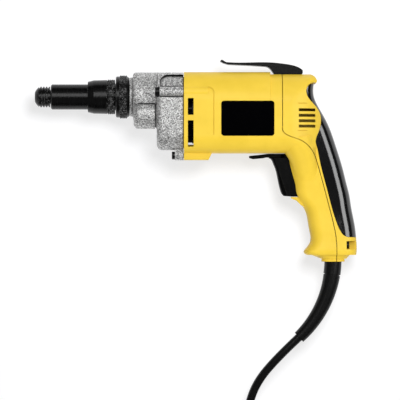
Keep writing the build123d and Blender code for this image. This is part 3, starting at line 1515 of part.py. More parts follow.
# Side view of the lever: distance behind the seam, drop below its top
lever_profile = [
    (-32.5, 2.2), (-19.5, 0.8), (-13.5, 0.0), (50.0, 0.0), (50.0, lever_thickness), (-15.4, lever_thickness),
    (-18.5, lever_thickness + 0.7), (-28.5, lever_thickness + lever_droop), (-32.5, lever_thickness + 0.5),
]
with BuildPart() as reverse_lever:
    with BuildSketch(level_plane(lever_top_y)):
        with BuildLine():
            Polyline(
                (lever_tip_x, mid_z - 5.0),
                (lever_shoulder_x, mid_z - 6.0),
                (seam_x - 1.0, mid_z - 6.5),
                (seam_x + 2.5, mid_z - lever_neck_half_width),
                (lever_pivot_x, mid_z - lever_neck_half_width),
                (lever_pivot_x, mid_z + lever_neck_half_width),
                (seam_x + 2.5, mid_z + lever_neck_half_width),
                (seam_x - 1.0, mid_z + 6.5),
                (lever_shoulder_x, mid_z + 6.0),
                (lever_tip_x, mid_z + 5.0),
                close=True,
            )
        make_face()
        with Locations((lever_pivot_x, mid_z)):
            Circle(5.0)
            Circle(lever_pin_radius + 0.1, mode=Mode.SUBTRACT)
    extrude(amount=lever_thickness + lever_droop)
    fillet(reverse_lever.edges().filter_by(Axis.Y).group_by(Axis.X)[0], 2.0)
    with BuildSketch(side_plane):
        with BuildLine():
            Polyline(*[(seam_x + x, lever_top_y - drop) for x, drop in lever_profile], close=True)
        make_face()
    extrude(amount=barrel_width, both=True, mode=Mode.INTERSECT)
    for index in range(5):
        rib_x = lever_tip_x + 2.6 + index * 2.3
        for side in (-1, 1):
            box_between(
                (rib_x, lever_bottom_y - lever_droop - 1.0, mid_z + side * 5.4 - 0.9),
                (rib_x + 0.9, lever_top_y + 1.0, mid_z + side * 5.4 + 0.9),
                Mode.SUBTRACT,
            )
save(reverse_lever, "reverse_lever")

# Belt hook on top, held by one screw
hook_half_width = 11.0
hook_seat = barrel_rise - cap_step + 0.05
hook_back = 21.0
hook_top = [
    (-55.5, 2.4), (-36.5, 2.9), (-7.5, 3.0), (1.5, 4.0), (10.5, 5.5), (17.5, 8.0), (hook_back, 10.5),
]
# Underside of the hook: distance behind the seam, height above the barrel
hook_root = [(-7.5, hook_seat - barrel_rise), (-9.4, 0.5), (-12.2, 3.7), (-16.5, 5.5)]
hook_blade = [(-31.5, 6.5), (-53.5, 7.5), (-58.5, 9.0)]
hook_head_radius = 4.6
hook_head_length = 3.0
hook_floor = 2.8
hook_floor_y = barrel_top + hook_floor
with BuildPart() as belt_hook:
    top_points = [tool_point(x, drop - hook_rise) for x, drop in hook_top]
    root_points = [tool_point(x, -barrel_rise - height) for x, height in hook_root]
    blade_points = [tool_point(x, -barrel_rise - height) for x, height in hook_blade]
    with BuildSketch(side_plane):
        with BuildLine():
            Polyline(tool_point(-61.5, 1.6 - hook_rise), tool_point(-60.6, 0.4 - hook_rise),
                     tool_point(-59.4, -hook_rise), tool_point(-58.0, 0.9 - hook_rise), top_points[0])
            Spline(top_points)
            Polyline(top_points[-1], tool_point(hook_back, -hook_seat), root_points[0])
            Spline(root_points)
            Polyline(root_points[-1], *blade_points, tool_point(-61.5, 1.6 - hook_rise))
        make_face()
    extrude(amount=hook_half_width, both=True)
    fillet(belt_hook.edges().filter_by(Axis.Z).group_by(Axis.X)[-1], 1.5)
    bore(down_plane(hook_screw_x, axis_y + hook_rise), axis_y + hook_rise - hook_floor_y,
         hook_head_radius + 0.3)
    bore(down_plane(hook_screw_x, axis_y + hook_rise), hook_rise, screw_radius + pilot_slip)
save(belt_hook, "belt_hook")

with BuildPart() as hook_screw:
    ring(down_plane(hook_screw_x, hook_floor_y + hook_head_length), hook_head_length, hook_head_radius, 0)
    ring(down_plane(hook_screw_x, hook_floor_y), hook_floor_y - cap_top + 12.0, screw_radius, 0)
    with BuildSketch(down_plane(hook_screw_x, hook_floor_y + hook_head_length)):
        Rectangle(5.4, 1.1)
        Rectangle(1.1, 5.4)
    extrude(amount=0.6 * hook_head_length, mode=Mode.SUBTRACT)
save(hook_screw, "hook_screw")

# Screws that hold the handle cover at its base
with BuildPart() as handle_cover_screws:
    for side in (-1, 1):
        screw_z = mid_z + side * base_screw_spread
        ring(along_plane(base_boss_x + 5.0, base_screw_y, screw_z), base_head_x - base_boss_x - 5.0,
             screw_radius, 0)
        ring(along_plane(base_head_x, base_screw_y, screw_z), base_head_length, base_head_radius, 0)
        with BuildSketch(along_plane(base_head_x + base_head_length, base_screw_y, screw_z)):
            Rectangle(4.2, 1.0)
            Rectangle(1.0, 4.2)
        extrude(amount=-0.6 * base_head_length, mode=Mode.SUBTRACT)
save(handle_cover_screws, "handle_cover_screws")

# Clamp that holds the cord in the handle
clamp_x = inner_cord_x + cord_radius + 0.5
clamp_thickness = 3.0
clamp_head_radius = 2.7
clamp_head_length = 2.0
with BuildPart() as cord_clamp:
    box_between(
        (clamp_x, saddle_y - saddle_height / 2 + 0.5, mid_z - saddle_half_width + 0.5),
        (clamp_x + clamp_thickness, saddle_y + saddle_height / 2 - 0.5, mid_z + saddle_half_width - 0.5),
        Mode.ADD,
    )
    paired_holes(saddle_y, clamp_screw_spread, clamp_x - 1.0, clamp_thickness + 2.0,
                 clamp_screw_radius + pilot_slip)
save(cord_clamp, "cord_clamp")

with BuildPart() as cord_clamp_screws:
    for side in (-1, 1):
        screw_z = mid_z + side * clamp_screw_spread
        ring(along_plane(inner_cord_x - clamp_screw_reach, saddle_y, screw_z),
             clamp_x + clamp_thickness - inner_cord_x + clamp_screw_reach, clamp_screw_radius, 0)
        ring(along_plane(clamp_x + clamp_thickness, saddle_y, screw_z), clamp_head_length,
             clamp_head_radius, 0)
save(cord_clamp_screws, "cord_clamp_screws")

# Cord inside the handle, from the protector to the switch
switch_cord_x = switch_front_x + 8.5
with BuildPart() as inner_cord:
    with BuildLine(side_plane) as inner_path:
        FilletPolyline(
            (inner_cord_x, collar_y + collar_height),
            (inner_cord_x, saddle_y + 12.0),
            (switch_cord_x, saddle_y + 29.0),
            (switch_cord_x, switch_top_y - switch_height),
            radius=18.0,
        )
    with BuildSketch(Plane(origin=inner_path.line @ 0, z_dir=inner_path.line % 0)):
        Circle(cord_radius)
    sweep(path=inner_path.line)
save(inner_cord, "inner_cord")

# Cord protector: collar in the handle's base, then a bent sleeve that tapers
protector_start_y = base_y + 2.5
protector_step_angle = 8.1
protector_groove_angle = 0.5
protector_end_angle = 47.0
protector_step_radius = 8.4
protector_groove_radius = 7.6
protector_centre = (outlet_x - protector_bend_radius, protector_start_y)
with BuildPart() as cord_protector:
    ring(down_plane(outlet_x, collar_y + collar_height), collar_height, collar_radius, 0)
    ring(down_plane(outlet_x, collar_y), collar_y - protector_start_y, protector_top_radius, 0)
    with BuildLine(side_plane) as root_path:
        CenterArc(protector_centre, protector_bend_radius, 0, -protector_step_angle)
    with BuildSketch(Plane(origin=root_path.line @ 0, z_dir=root_path.line % 0)):
        Circle(protector_top_radius)
    sweep(path=root_path.line)
    with BuildLine(side_plane) as groove_path:
        CenterArc(protector_centre, protector_bend_radius, -protector_step_angle, -protector_groove_angle)
    with BuildSketch(Plane(origin=groove_path.line @ 0, z_dir=groove_path.line % 0)):
        Circle(protector_groove_radius)
    sweep(path=groove_path.line)
    with BuildLine(side_plane) as taper_path:
        CenterArc(protector_centre, protector_bend_radius, -protector_step_angle - protector_groove_angle,
                  protector_step_angle + protector_groove_angle - protector_end_angle)
    with BuildSketch(Plane(origin=taper_path.line @ 0, z_dir=taper_path.line % 0)) as wide_end:
        Circle(protector_step_radius)
    with BuildSketch(Plane(origin=taper_path.line @ 1, z_dir=taper_path.line % 1)) as narrow_end:
        Circle(protector_tip_radius)
    sweep(sections=[wide_end.sketch, narrow_end.sketch], path=taper_path.line, multisection=True)
save(cord_protector, "cord_protector")

# Cord on the table: from the protector down to a coil that is put away beside the tool
heading = radians(protector_end_angle)
cord_start = (
    protector_centre[0] + protector_bend_radius * cos(heading),
    protector_centre[1] - protector_bend_radius * sin(heading),
    mid_z,
)
first_run = 28.0
cord_points = [
    cord_start,
    (cord_start[0] - first_run * sin(heading), cord_start[1] - first_run * cos(heading), mid_z),
    (60.5, -222.0, 32.0),
    (51.5, -250.0, 23.0),
    (41.8, -298.6, 14.0),
]
coil_lift = 1.4
coil_turn_radius = 49.8
coil_columns = 4
coil_layers = 2
coil_width = coil_columns * cord_diameter
coil_height = coil_layers * cord_diameter
coil_x = 103.0
coil_y = -310.5
tail_drop = coil_turn_radius + coil_width / 2 - cord_radius
plug_lift = 9.2
tail_points = [
    (coil_x - 2.0, coil_y - tail_drop, coil_lift + cord_radius),
    (coil_x + 20.0, coil_y - tail_drop, plug_lift),
    (coil_x + 40.0, coil_y - tail_drop, plug_lift),
]


def corner_radii(points):
    """Bend radius for each inner corner: 0.45 of the shorter run beside it."""
    radii = []
    for before, corner, after in zip(points, points[1:], points[2:]):
        run_in = Vector(*corner) - Vector(*before)
        run_out = Vector(*after) - Vector(*corner)
        half_turn = radians(run_in.get_angle(run_out)) / 2
        radii.append(0.45 * min(run_in.length, run_out.length) / tan(half_turn))
    return radii


def cord_tube(points):
    """A cord as straight runs and tangent arcs, with its radii and volume printed."""
    radii = corner_radii(points)
    with BuildPart() as tube:
        with BuildLine() as path:
            FilletPolyline(*points, radius=radii)
        with BuildSketch(Plane(origin=path.line @ 0, z_dir=path.line % 0)):
            Circle(cord_radius)
        sweep(path=path.line)
    length = sum(edge.length for edge in path.edges())
    print("bend radii", [round(r, 1) for r in radii], "length", round(length, 1),
          "volume ratio", round(tube.part.volume / (pi * cord_radius**2 * length), 4))
    return tube.part


with BuildPart() as cord:
    add(cord_tube(cord_points))
save(cord, "cord")

with BuildPart() as cord_coil:
    with BuildSketch(Plane.XZ.offset(-coil_y)):
        with Locations((coil_x + coil_turn_radius, coil_lift + coil_height / 2)):
            RectangleRounded(coil_width, coil_height, cord_radius)
    revolve(axis=Axis((coil_x, coil_y, 0), (0, 0, 1)))
save(cord_coil, "cord_coil")

tie_width = 10.0
tie_thickness = 1.2
tie_slip = 0.45
tie_x = coil_x + coil_turn_radius
tie_reach = coil_width / 2 + tie_slip
tie_top = coil_lift + coil_height + 0.1
with BuildPart() as cord_tie:
    box_between(
        (tie_x - tie_reach - tie_thickness, coil_y - tie_width / 2, 0.1),
        (tie_x + tie_reach + tie_thickness, coil_y + tie_width / 2, tie_top + tie_thickness),
        Mode.ADD,
    )
    box_between(
        (tie_x - tie_reach, coil_y - tie_width, coil_lift - 0.1),
        (tie_x + tie_reach, coil_y + tie_width, tie_top),
        Mode.SUBTRACT,
    )
save(cord_tie, "cord_tie")

with BuildPart() as cord_tail:
    add(cord_tube(tail_points))
save(cord_tail, "cord_tail")

# Plug with two flat blades
plug_x, plug_y, plug_z = tail_points[-1]
plug_length = 38.0
plug_sections = [(0.0, 11.0, 11.0, 5.0), (12.0, 20.0, 16.0, 6.0), (24.0, 26.0, 18.0, 6.0),
                 (plug_length, 26.0, 18.0, 6.0)]
blade_length = 17.0
blade_height = 6.35
blade_thickness = 1.5
blade_spread = 6.35
with BuildPart() as plug_body:
    for distance, width, height, corner in plug_sections:
        with BuildSketch(along_plane(plug_x + distance, plug_y, plug_z)):
            RectangleRounded(width, height, corner)
    loft()
save(plug_body, "plug_body")

with BuildPart() as plug_blades:
    for side in (-1, 1):
        blade_y = plug_y + side * blade_spread
        box_between(
            (plug_x + plug_length, blade_y - blade_thickness / 2, plug_z - blade_height / 2),
            (plug_x + plug_length + blade_length, blade_y + blade_thickness / 2, plug_z + blade_height / 2),
            Mode.ADD,
        )
save(plug_blades, "plug_blades")
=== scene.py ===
import json
import math

import bpy
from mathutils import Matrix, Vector


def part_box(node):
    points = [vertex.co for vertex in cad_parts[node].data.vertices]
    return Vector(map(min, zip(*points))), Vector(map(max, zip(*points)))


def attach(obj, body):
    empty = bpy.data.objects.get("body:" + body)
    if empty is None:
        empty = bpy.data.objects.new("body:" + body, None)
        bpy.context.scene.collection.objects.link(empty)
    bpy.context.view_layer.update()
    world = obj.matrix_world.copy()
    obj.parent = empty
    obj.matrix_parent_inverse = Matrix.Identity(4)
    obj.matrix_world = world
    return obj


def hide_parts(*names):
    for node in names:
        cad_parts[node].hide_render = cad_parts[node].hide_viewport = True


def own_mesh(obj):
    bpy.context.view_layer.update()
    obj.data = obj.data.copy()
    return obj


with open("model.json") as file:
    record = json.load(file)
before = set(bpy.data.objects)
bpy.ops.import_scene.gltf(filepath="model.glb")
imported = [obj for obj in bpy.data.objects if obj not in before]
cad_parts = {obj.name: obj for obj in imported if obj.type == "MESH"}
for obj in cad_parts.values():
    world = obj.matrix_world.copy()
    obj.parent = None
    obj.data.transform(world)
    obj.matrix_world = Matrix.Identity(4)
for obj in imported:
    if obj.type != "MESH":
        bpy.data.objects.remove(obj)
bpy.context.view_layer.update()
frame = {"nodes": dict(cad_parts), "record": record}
nodes = frame["nodes"]
scene = bpy.context.scene
scene.view_settings.view_transform = "Standard"

# The photograph looks straight down on the tool, 0.4 m across
view_width = 0.4
view_x = 0.00425
view_y = -0.03925
camera_height = 4.0
camera_far = 20.0
mid_z = 0.037
sensor = 36.0


def make_camera():
    """Long lens over the middle of the picture, with the tool's middle plane at true scale."""
    data = bpy.data.cameras.new("camera")
    data.sensor_width = sensor
    data.lens = sensor * (camera_height - mid_z) / view_width
    data.clip_end = camera_far
    camera = bpy.data.objects.new("camera", data)
    camera.location = (view_x, view_y, camera_height)
    scene.collection.objects.link(camera)
    scene.camera = camera


make_camera()

# Cord: out of the protector, down to a flat coil of two layers on the table, and on to its plug
cord_diameter = 0.0084
cord_radius = cord_diameter / 2
cord_steps = 8
cord_roundness = 5
run_points = [
    (0.10323, -0.17651, 0.037),
    (0.08275, -0.19560, 0.037),
    (0.0605, -0.2220, 0.032),
    (0.0515, -0.2500, 0.023),
]
coil_centre = (0.103, -0.3105)
coil_radii = [0.0624, 0.0540, 0.0456, 0.0372]
coil_top_z = 0.0140
coil_low_z = 0.0056
points_per_turn = 24
# Angle, radius and height at which each stretch of the coil starts and ends
coil_steps = [
    (169, 0, 1), (460, 0, 1), (520, 1, 1), (820, 1, 1),
    (880, 2, 1), (1180, 2, 1), (1240, 3, 1), (1480, 3, 1),
    (1540, 3, 0), (1780, 3, 0), (1840, 2, 0), (2140, 2, 0),
    (2200, 1, 0), (2500, 1, 0), (2560, 0, 0), (2788, 0, 0),
]
tail_points = [
    (0.1210, -0.3729, 0.0072),
    (0.1430, -0.3729, 0.0092),
]


def coil_point(angle):
    """Point of the coil's line at an angle counted on from its start."""
    for (a0, r0, l0), (a1, r1, l1) in zip(coil_steps, coil_steps[1:]):
        if a0 <= angle <= a1:
            share = (angle - a0) / (a1 - a0)
            radius = coil_radii[r0] + share * (coil_radii[r1] - coil_radii[r0])
            level = l0 + share * (l1 - l0)
    # Control points lie outside the circle that the spline draws
    radius /= math.cos(math.pi / points_per_turn)
    turn = math.radians(angle)
    return (
        coil_centre[0] + radius * math.cos(turn),
        coil_centre[1] + radius * math.sin(turn),
        coil_low_z + level * (coil_top_z - coil_low_z),
    )


def make_cord():
    """The whole cord as one smooth line with a round section."""
    first, last = coil_steps[0][0], coil_steps[-1][0]
    count = round((last - first) * points_per_turn / 360)
    turns = [coil_point(first + (last - first) * i / count) for i in range(count + 1)]
    points = run_points + turns + tail_points
    curve = bpy.data.curves.new("power_cord", "CURVE")
    curve.dimensions = "3D"
    spline = curve.splines.new("NURBS")
    spline.points.add(len(points) - 1)
    for point, place in zip(spline.points, points):
        point.co = (*place, 1.0)
        point.radius = cord_radius
    spline.order_u = 3
    spline.use_endpoint_u = True
    curve.resolution_u = cord_steps
    curve.bevel_depth = 1.0
    curve.bevel_resolution = cord_roundness
    curve.use_fill_caps = True
    cord = bpy.data.objects.new("power_cord", curve)
    scene.collection.objects.link(cord)
    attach(cord, "housing")
    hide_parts("cord", "cord_coil", "cord_tail")
    return cord


power_cord = make_cord()

# Thin black strip in the gap between the reverse lever and the trigger, reaching back to the switch:
# painted shade, a dark sheet that keeps light from showing through the gap
trigger_lever_gap = 0.0005
shade_strip_room = 0.00005
shade_strip_inset = 0.0008
shade_strip_half_width = 0.0035
shade_strip_end_steps = 12


def make_gap_shade():
    """Flat strip of painted shade with a round front end, from over the trigger's front back to the switch.
    """
    trigger_low, trigger_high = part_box("trigger")
    back_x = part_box("switch_body")[0][0]
    middle_z = (trigger_low[2] + trigger_high[2]) / 2
    front_x = trigger_low[0] + shade_strip_inset + shade_strip_half_width
    outline = [(back_x, middle_z + shade_strip_half_width), (back_x, middle_z - shade_strip_half_width)]
    for step in range(shade_strip_end_steps + 1):
        turn = math.pi * (1.5 - step / shade_strip_end_steps)
        x = front_x + shade_strip_half_width * math.cos(turn)
        z = middle_z + shade_strip_half_width * math.sin(turn)
        outline.append((x, z))
    low_y = trigger_high[1] + shade_strip_room
    high_y = trigger_high[1] + trigger_lever_gap - shade_strip_room
    count = len(outline)
    corners = [(x, y, z) for y in (low_y, high_y) for x, z in outline]
    sides = [(i, (i + 1) % count, count + (i + 1) % count, count + i) for i in range(count)]
    mesh = bpy.data.meshes.new("trigger_gap_shade")
    mesh.from_pydata(corners, [], [tuple(range(count))[::-1], tuple(range(count, 2 * count)), *sides])
    shade_strip = bpy.data.objects.new("trigger_gap_shade", mesh)
    scene.collection.objects.link(shade_strip)
    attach(shade_strip, "housing")
    return shade_strip


trigger_gap_shade = make_gap_shade()

# Spring of the bit sleeve, drawn at one length; the real one gets shorter as the sleeve is pulled forward
spring_wire_radius = 0.0004
spring_turns = 3.5
spring_rings = 84
spring_wire_sides = 10


def make_sleeve_spring():
    """Coil of round wire in the place of the CAD spring, with its turns evenly spread along it."""
    low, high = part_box("sleeve_spring")
    centre_y, centre_z = (low[1] + high[1]) / 2, (low[2] + high[2]) / 2
    coil_radius = (high[1] - low[1]) / 2 - spring_wire_radius
    spring_length = high[0] - low[0]
    rise = (spring_length - 2 * spring_wire_radius) / spring_rings
    corners = []
    for ring in range(spring_rings + 1):
        turn = 2 * math.pi * spring_turns * ring / spring_rings
        for side in range(spring_wire_sides):
            around = 2 * math.pi * side / spring_wire_sides
            radius = coil_radius + spring_wire_radius * math.cos(around)
            x = low[0] + spring_wire_radius * (1 + math.sin(around)) + rise * ring
            corners.append((x, centre_y + radius * math.cos(turn), centre_z + radius * math.sin(turn)))
    count = len(corners)
    faces = [tuple(range(spring_wire_sides)), tuple(range(count - spring_wire_sides, count))[::-1]]
    for ring in range(spring_rings):
        start = ring * spring_wire_sides
        for side in range(spring_wire_sides):
            a, b = start + side, start + (side + 1) % spring_wire_sides
            faces.append((a, a + spring_wire_sides, b + spring_wire_sides, b))
    mesh = bpy.data.meshes.new("sleeve_coil")
    mesh.from_pydata(corners, [], faces)
    mesh.shade_smooth()
    coil = bpy.data.objects.new("sleeve_coil", mesh)
    scene.collection.objects.link(coil)
    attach(coil, "spindle")
    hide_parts("sleeve_spring")
    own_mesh(coil)
    return coil


sleeve_coil = make_sleeve_spring()


# Nodes of the procedural materials
black = (0.0, 0.0, 0.0)
white = (1.0, 1.0, 1.0)
# Painted shade in a crevice: its tone, and the open share of its surroundings over which it fades
crevice_shade_tone = (0.12, 0.12, 0.12)
crevice_shade_fade = (0.35, 0.85)
# How far a rounded edge agrees with its face where the lighter edge fades, part wear and part painted
# highlight, and the grains that it reaches
worn_glint_fade = (0.75, 0.98)
worn_glint_grains = (0.45, 0.95)
relief_detail = 2.0
# Colour sockets of the mix node
mix_first, mix_second, mix_result = 6, 7, 2


def new_material(name):
    """A node material and its shader."""
    material = bpy.data.materials.new(name)
    material.use_nodes = True
    return material, material.node_tree, material.node_tree.nodes["Principled BSDF"]


def add_node(tree, kind, links=(), **values):
    """A node with its inputs set by value or linked."""
    node = tree.nodes.new(kind)
    for name, value in values.items():
        node.inputs[name.replace("_", " ").title()].default_value = value
    for name, source in links:
        tree.links.new(source, node.inputs[name])
    return node


def object_place(tree):
    """Place in the object's own frame."""
    return tree.nodes.new("ShaderNodeTexCoord").outputs["Object"]


def noise(tree, scale, detail=3.0, stretch=None):
    """Noise at a scale per metre, drawn out along an axis where a stretch is given."""
    place = object_place(tree)
    if stretch:
        place = add_node(tree, "ShaderNodeMapping", [("Vector", place)], scale=stretch).outputs["Vector"]
    pattern = add_node(tree, "ShaderNodeTexNoise", [("Vector", place)], scale=scale, detail=detail)
    return pattern.outputs["Fac"]


def cells(tree, scale, ragged=1.2):
    """A value that differs from grain to grain, with so many ragged grains per metre."""
    place = object_place(tree)
    shift = add_node(tree, "ShaderNodeTexNoise", [("Vector", place)], scale=2 * scale, detail=4.0)
    ragged_place = add_node(tree, "ShaderNodeVectorMath", [(0, shift.outputs["Color"]), (2, place)])
    ragged_place.operation = "MULTIPLY_ADD"
    ragged_place.inputs[1].default_value = (ragged / scale, ragged / scale, ragged / scale)
    grains = add_node(tree, "ShaderNodeTexVoronoi", [("Vector", ragged_place.outputs[0])], scale=scale)
    return add_node(tree, "ShaderNodeSeparateColor", [("Color", grains.outputs["Color"])]).outputs["Red"]


def spread(tree, factor, low, high, start=0.3, end=0.7):
    """The factor mapped to a range of values."""
    node = add_node(tree, "ShaderNodeMapRange", [("Value", factor)], from_min=start, from_max=end,
                    to_min=low, to_max=high)
    return node.outputs["Result"]


def two_tone(tree, factor, dark, light, start=0.3, end=0.7):
    """The factor mapped to a range of colours."""
    node = add_node(tree, "ShaderNodeValToRGB", [("Fac", factor)])
    first, second = node.color_ramp.elements
    first.position, first.color = start, (*dark, 1.0)
    second.position, second.color = end, (*light, 1.0)
    return node.outputs["Color"]


def blend(tree, kind, first, second):
    """Two colours put together."""
    mix = add_node(tree, "ShaderNodeMix")
    mix.data_type = "RGBA"
    mix.blend_type = kind
    mix.inputs["Factor"].default_value = 1.0
    tree.links.new(first, mix.inputs[mix_first])
    tree.links.new(second, mix.inputs[mix_second])
    return mix.outputs[mix_result]


def surface(name, dark, light, tone_scale, rough, rough_scale, metal=0.0, bump_scale=0.0, bump_strength=0.0,
            bump_distance=0.0002, stretch=None, specular=0.5, soft_edge=0.0, crevice_shade=0.0,
            tone_range=(0.3, 0.7), grainy=False, worn_glint=0.0, worn_glint_tone=0.0, worn_glint_scale=600):
    """A surface whose tone, roughness and fine relief vary, with soft edges, lighter edges that are part
    wear and part painted highlight, and painted shade in crevices.
    """
    material, tree, shader = new_material(name)
    tone = cells(tree, tone_scale) if grainy else noise(tree, tone_scale, stretch=stretch)
    colour = two_tone(tree, tone, dark, light, *tone_range)
    # Painted shade: the colour darkened in crevices, where the surroundings close in
    if crevice_shade:
        open_share = add_node(tree, "ShaderNodeAmbientOcclusion", distance=crevice_shade).outputs["AO"]
        shade = two_tone(tree, open_share, crevice_shade_tone, white, *crevice_shade_fade)
        colour = blend(tree, "MULTIPLY", colour, shade)
    # Edges lighter than the face, part wear and part painted highlight for light caught on edges and knurls
    if worn_glint:
        rounded = add_node(tree, "ShaderNodeBevel", radius=worn_glint).outputs["Normal"]
        true_normal = tree.nodes.new("ShaderNodeNewGeometry").outputs["Normal"]
        lean = add_node(tree, "ShaderNodeVectorMath", [(0, rounded), (1, true_normal)])
        lean.operation = "DOT_PRODUCT"
        glint_tone = (worn_glint_tone, worn_glint_tone, worn_glint_tone)
        bare_glint = two_tone(tree, lean.outputs["Value"], glint_tone, black, *worn_glint_fade)
        glint_patches = two_tone(tree, cells(tree, worn_glint_scale), black, white, *worn_glint_grains)
        colour = blend(tree, "ADD", colour, blend(tree, "MULTIPLY", bare_glint, glint_patches))
    tree.links.new(colour, shader.inputs["Base Color"])
    roughness = spread(tree, noise(tree, rough_scale, stretch=stretch), *rough)
    tree.links.new(roughness, shader.inputs["Roughness"])
    shader.inputs["Metallic"].default_value = metal
    shader.inputs["Specular IOR Level"].default_value = specular
    normal = None
    if soft_edge:
        normal = add_node(tree, "ShaderNodeBevel", radius=soft_edge).outputs["Normal"]
    if bump_strength:
        relief = noise(tree, bump_scale, relief_detail, stretch)
        links = [("Height", relief)] + ([("Normal", normal)] if normal else [])
        normal = add_node(tree, "ShaderNodeBump", links, strength=bump_strength,
                          distance=bump_distance).outputs["Normal"]
    if normal:
        tree.links.new(normal, shader.inputs["Normal"])
    return material


yellow = surface("yellow_plastic", (0.85, 0.585, 0.048), (0.91, 0.63, 0.058), 60, (0.36, 0.46), 900,
                 bump_scale=2600, bump_strength=0.05, specular=0.25, soft_edge=0.0008)
rubber = surface("grip_rubber", (0.0010, 0.0010, 0.0013), (0.002, 0.002, 0.0025), 500, (0.10, 0.15), 700,
                 bump_scale=1800, bump_strength=0.03, specular=0.80, soft_edge=0.0006)
black_plastic = surface("black_plastic", (0.002, 0.002, 0.002), (0.005, 0.005, 0.005), 700,
                        (0.20, 0.30), 900, bump_scale=2200, bump_strength=0.08, specular=0.3,
                        soft_edge=0.0008)
# Black steel whose edges are lighter, part wear and part painted highlight
black_steel = surface("black_steel", (0.0006, 0.0006, 0.0006), (0.002, 0.002, 0.002), 900,
                      (0.22, 0.30), 1400, bump_scale=1600, bump_strength=0.06, stretch=(1.0, 0.05, 0.05),
                      specular=0.26, soft_edge=0.0005, worn_glint=0.0005, worn_glint_tone=0.42)
satin_black = surface("satin_black", (0.0010, 0.0010, 0.0010), (0.0025, 0.0025, 0.0025), 700,
                      (0.18, 0.28), 900, bump_scale=2200, bump_strength=0.08, specular=0.11,
                      soft_edge=0.0007)
badge_black = surface("badge_black", (0.0003, 0.0003, 0.0006), (0.0006, 0.0006, 0.001), 400,
                      (0.12, 0.18), 800, specular=0.01)
# Cast aluminium with painted shade in its crevices
casting = surface("cast_aluminium", (0.09, 0.09, 0.09), (1.0, 1.0, 0.99), 1300, (0.50, 0.65), 900,
                  metal=0.70, bump_scale=900, bump_strength=0.6, bump_distance=0.0004,
                  soft_edge=0.0005, crevice_shade=0.003, tone_range=(0.0, 1.0), grainy=True)
# Nearly black casting for the parts seen through the vents: painted shade inside the tool
vent_shade_casting = surface("vent_shade_casting", (0.008, 0.008, 0.008), (0.02, 0.02, 0.02), 900, (0.50, 0.65), 900,
                       bump_scale=900, bump_strength=0.5, specular=0.2)
screw_black = surface("screw_black", (0.002, 0.002, 0.002), (0.005, 0.005, 0.005), 900, (0.25, 0.36), 900,
                      specular=0.25, soft_edge=0.0005)
steel = surface("ground_steel", (0.46, 0.46, 0.46), (0.62, 0.62, 0.62), 900, (0.22, 0.34), 900, metal=1.0,
                stretch=(0.1, 1.0, 1.0))
spring_steel = surface("spring_steel", (0.38, 0.38, 0.39), (0.52, 0.52, 0.52), 1500, (0.26, 0.36), 1500,
                       metal=1.0)
sheet_steel = surface("laminated_steel", (0.16, 0.16, 0.17), (0.40, 0.40, 0.41), 1800, (0.35, 0.5), 900,
                      metal=1.0, stretch=(1.0, 0.02, 0.02))
copper = surface("copper_windings", (0.45, 0.17, 0.07), (0.72, 0.34, 0.16), 1400, (0.28, 0.42), 900,
                 metal=1.0)
bronze = surface("sintered_bronze", (0.42, 0.28, 0.12), (0.58, 0.42, 0.20), 1600, (0.38, 0.5), 900,
                 metal=1.0)
carbon = surface("pressed_carbon", (0.02, 0.02, 0.02), (0.06, 0.06, 0.06), 1500, (0.55, 0.7), 900)
cord_rubber = surface("cord_rubber", (0.002, 0.002, 0.002), (0.005, 0.005, 0.005), 900, (0.30, 0.42), 900,
                      bump_scale=1700, bump_strength=0.08, specular=0.2)
tie_fabric = surface("tie_fabric", (0.010, 0.010, 0.010), (0.030, 0.030, 0.030), 2500, (0.7, 0.9), 900,
                     bump_scale=2500, bump_strength=0.5)
plug_brass = surface("plug_brass", (0.60, 0.47, 0.22), (0.74, 0.60, 0.32), 900, (0.25, 0.36), 900,
                     metal=1.0)

slot_materials = {
    "yellow_plastic": yellow,
    "black_rubber": rubber,
    "black_plastic": black_plastic,
    "cast_aluminium": casting,
    "black_screws": screw_black,
    "steel": steel,
    "spring_steel": spring_steel,
    "laminated_steel": sheet_steel,
    "copper_windings": copper,
    "bronze": bronze,
    "carbon": carbon,
    "cord_rubber": cord_rubber,
    "tie_fabric": tie_fabric,
    "plug_brass": plug_brass,
}
node_materials = {
    "side_badges": badge_black,
    "bit_sleeve": black_steel,
    "nose_housing": black_steel,
    "torque_collar": black_steel,
    "lock_collar": black_steel,
    "output_spindle": black_steel,
    "cooling_fan": satin_black,
    "bearing_plate": vent_shade_casting,
    "front_bearing": vent_shade_casting,
    "trigger": satin_black,
    "reverse_lever": satin_black,
    "belt_hook": satin_black,
    "cord_protector": cord_rubber,
}


def paint(piece, material):
    """Gives a piece one material."""
    piece.data.materials.clear()
    piece.data.materials.append(material)


for entry in frame["record"]["subparts"]:
    name = entry["node"]
    paint(nodes[name], node_materials.get(name, slot_materials[entry["material_slot"]]))
paint(power_cord, cord_rubber)
paint(trigger_gap_shade, satin_black)
paint(sleeve_coil, spring_steel)

# Floor, world and lamps
lamp_distance = 1.6
lamp_aim = Vector((0.02, 0.0, mid_z))
fill_size = 1.0
floor_z = -0.0003
floor_half = 6.0
floor_glow = 0.75
# Slightly cool, against the warm light that the yellow housing throws on it
floor_tone = (0.30, 0.30, 0.31)
# Light of the surroundings by height: the sine of the height and the strength there
surround_steps = [(0.0, 0.04), (0.40, 0.06), (0.70, 0.20), (0.90, 0.16), (0.97, 0.08)]


def seen_directly(tree):
    """1 for what the camera, gloss and glass show, 0 for light that falls on things."""
    path = tree.nodes.new("ShaderNodeLightPath")
    seen = path.outputs["Is Camera Ray"]
    for kind in ("Is Glossy Ray", "Is Transmission Ray"):
        either = add_node(tree, "ShaderNodeMath", [(0, seen), (1, path.outputs[kind])])
        either.operation = "MAXIMUM"
        seen = either.outputs[0]
    return seen


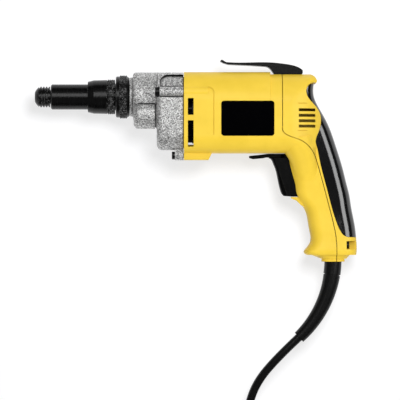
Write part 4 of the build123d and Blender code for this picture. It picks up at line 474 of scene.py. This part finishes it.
def make_floor():
    """White floor that keeps the tool's soft shadow."""
    mesh = bpy.data.meshes.new("floor")
    corners = [(x * floor_half, y * floor_half, floor_z) for x, y in ((-1, -1), (1, -1), (1, 1), (-1, 1))]
    mesh.from_pydata(corners, [], [(0, 1, 2, 3)])
    floor = bpy.data.objects.new("floor", mesh)
    scene.collection.objects.link(floor)
    material = bpy.data.materials.new("floor")
    material.use_nodes = True
    tree = material.node_tree
    tree.nodes.clear()
    matte = add_node(tree, "ShaderNodeBsdfDiffuse", color=(*floor_tone, 1.0))
    glow = add_node(tree, "ShaderNodeEmission", [("Strength", seen_directly(tree))],
                    color=(floor_glow, floor_glow, floor_glow, 1.0))
    both = add_node(tree, "ShaderNodeAddShader", [(0, matte.outputs[0]), (1, glow.outputs[0])])
    add_node(tree, "ShaderNodeOutputMaterial", [("Surface", both.outputs[0])])
    material.cycles.emission_sampling = "NONE"
    mesh.materials.append(material)
    return floor


def make_world():
    """Surroundings whose light depends on the height alone."""
    world = bpy.data.worlds.new("world")
    world.use_nodes = True
    tree = world.node_tree
    background = tree.nodes["Background"]
    place = tree.nodes.new("ShaderNodeTexCoord").outputs["Generated"]
    height = add_node(tree, "ShaderNodeSeparateXYZ", [("Vector", place)]).outputs["Z"]
    ramp = add_node(tree, "ShaderNodeValToRGB", [("Fac", height)])
    stops = ramp.color_ramp.elements
    while len(stops) < len(surround_steps):
        stops.new(0.5)
    for stop, (position, level) in zip(stops, surround_steps):
        stop.position, stop.color = position, (level, level, level, 1.0)
    tree.links.new(ramp.outputs["Color"], background.inputs["Color"])
    scene.world = world


def softbox(name, direction, width, depth, power, falls_on, in_gloss=True):
    """A lamp of a given width and depth that faces the tool and lights one collection."""
    data = bpy.data.lights.new(name, "AREA")
    data.shape = "RECTANGLE"
    data.size = width
    data.size_y = depth
    data.energy = power
    lamp = bpy.data.objects.new(name, data)
    away = Vector(direction).normalized()
    lamp.location = lamp_aim + away * lamp_distance
    lamp.rotation_mode = "QUATERNION"
    lamp.rotation_quaternion = away.to_track_quat("Z", "Y")
    lamp.visible_glossy = in_gloss
    lamp.light_linking.receiver_collection = falls_on
    scene.collection.objects.link(lamp)


# One lamp lights the floor and throws the shadow there, and the others light the tool
the_floor = bpy.data.collections.new("the_floor")
all_but_floor = bpy.data.collections.new("all_but_floor")
floor = make_floor()
the_floor.objects.link(floor)
all_but_floor.objects.link(floor)
all_but_floor.collection_objects[0].light_linking.link_state = "EXCLUDE"
make_world()
softbox("floor_key", (0.16, 0.26, 1.0), 0.50, 0.50, 25.0, the_floor, in_gloss=False)
softbox("key", (0.0, 0.34, 1.0), 0.68, 0.74, 7.6, all_but_floor)
softbox("side", (0.90, 0.20, 1.0), 0.66, 0.90, 9.6, all_but_floor)
softbox("fill_front", (-1.0, 0.0, 0.5), fill_size, fill_size, 3.5, all_but_floor, in_gloss=False)
softbox("fill_low", (0.0, -1.0, 0.5), fill_size, fill_size, 15.0, all_but_floor, in_gloss=False)
softbox("fill_back", (1.0, 0.0, 0.5), fill_size, fill_size, 2.0, all_but_floor, in_gloss=False)
softbox("fill_top", (0.0, 1.0, 0.5), fill_size, fill_size, 9.0, all_but_floor, in_gloss=False)
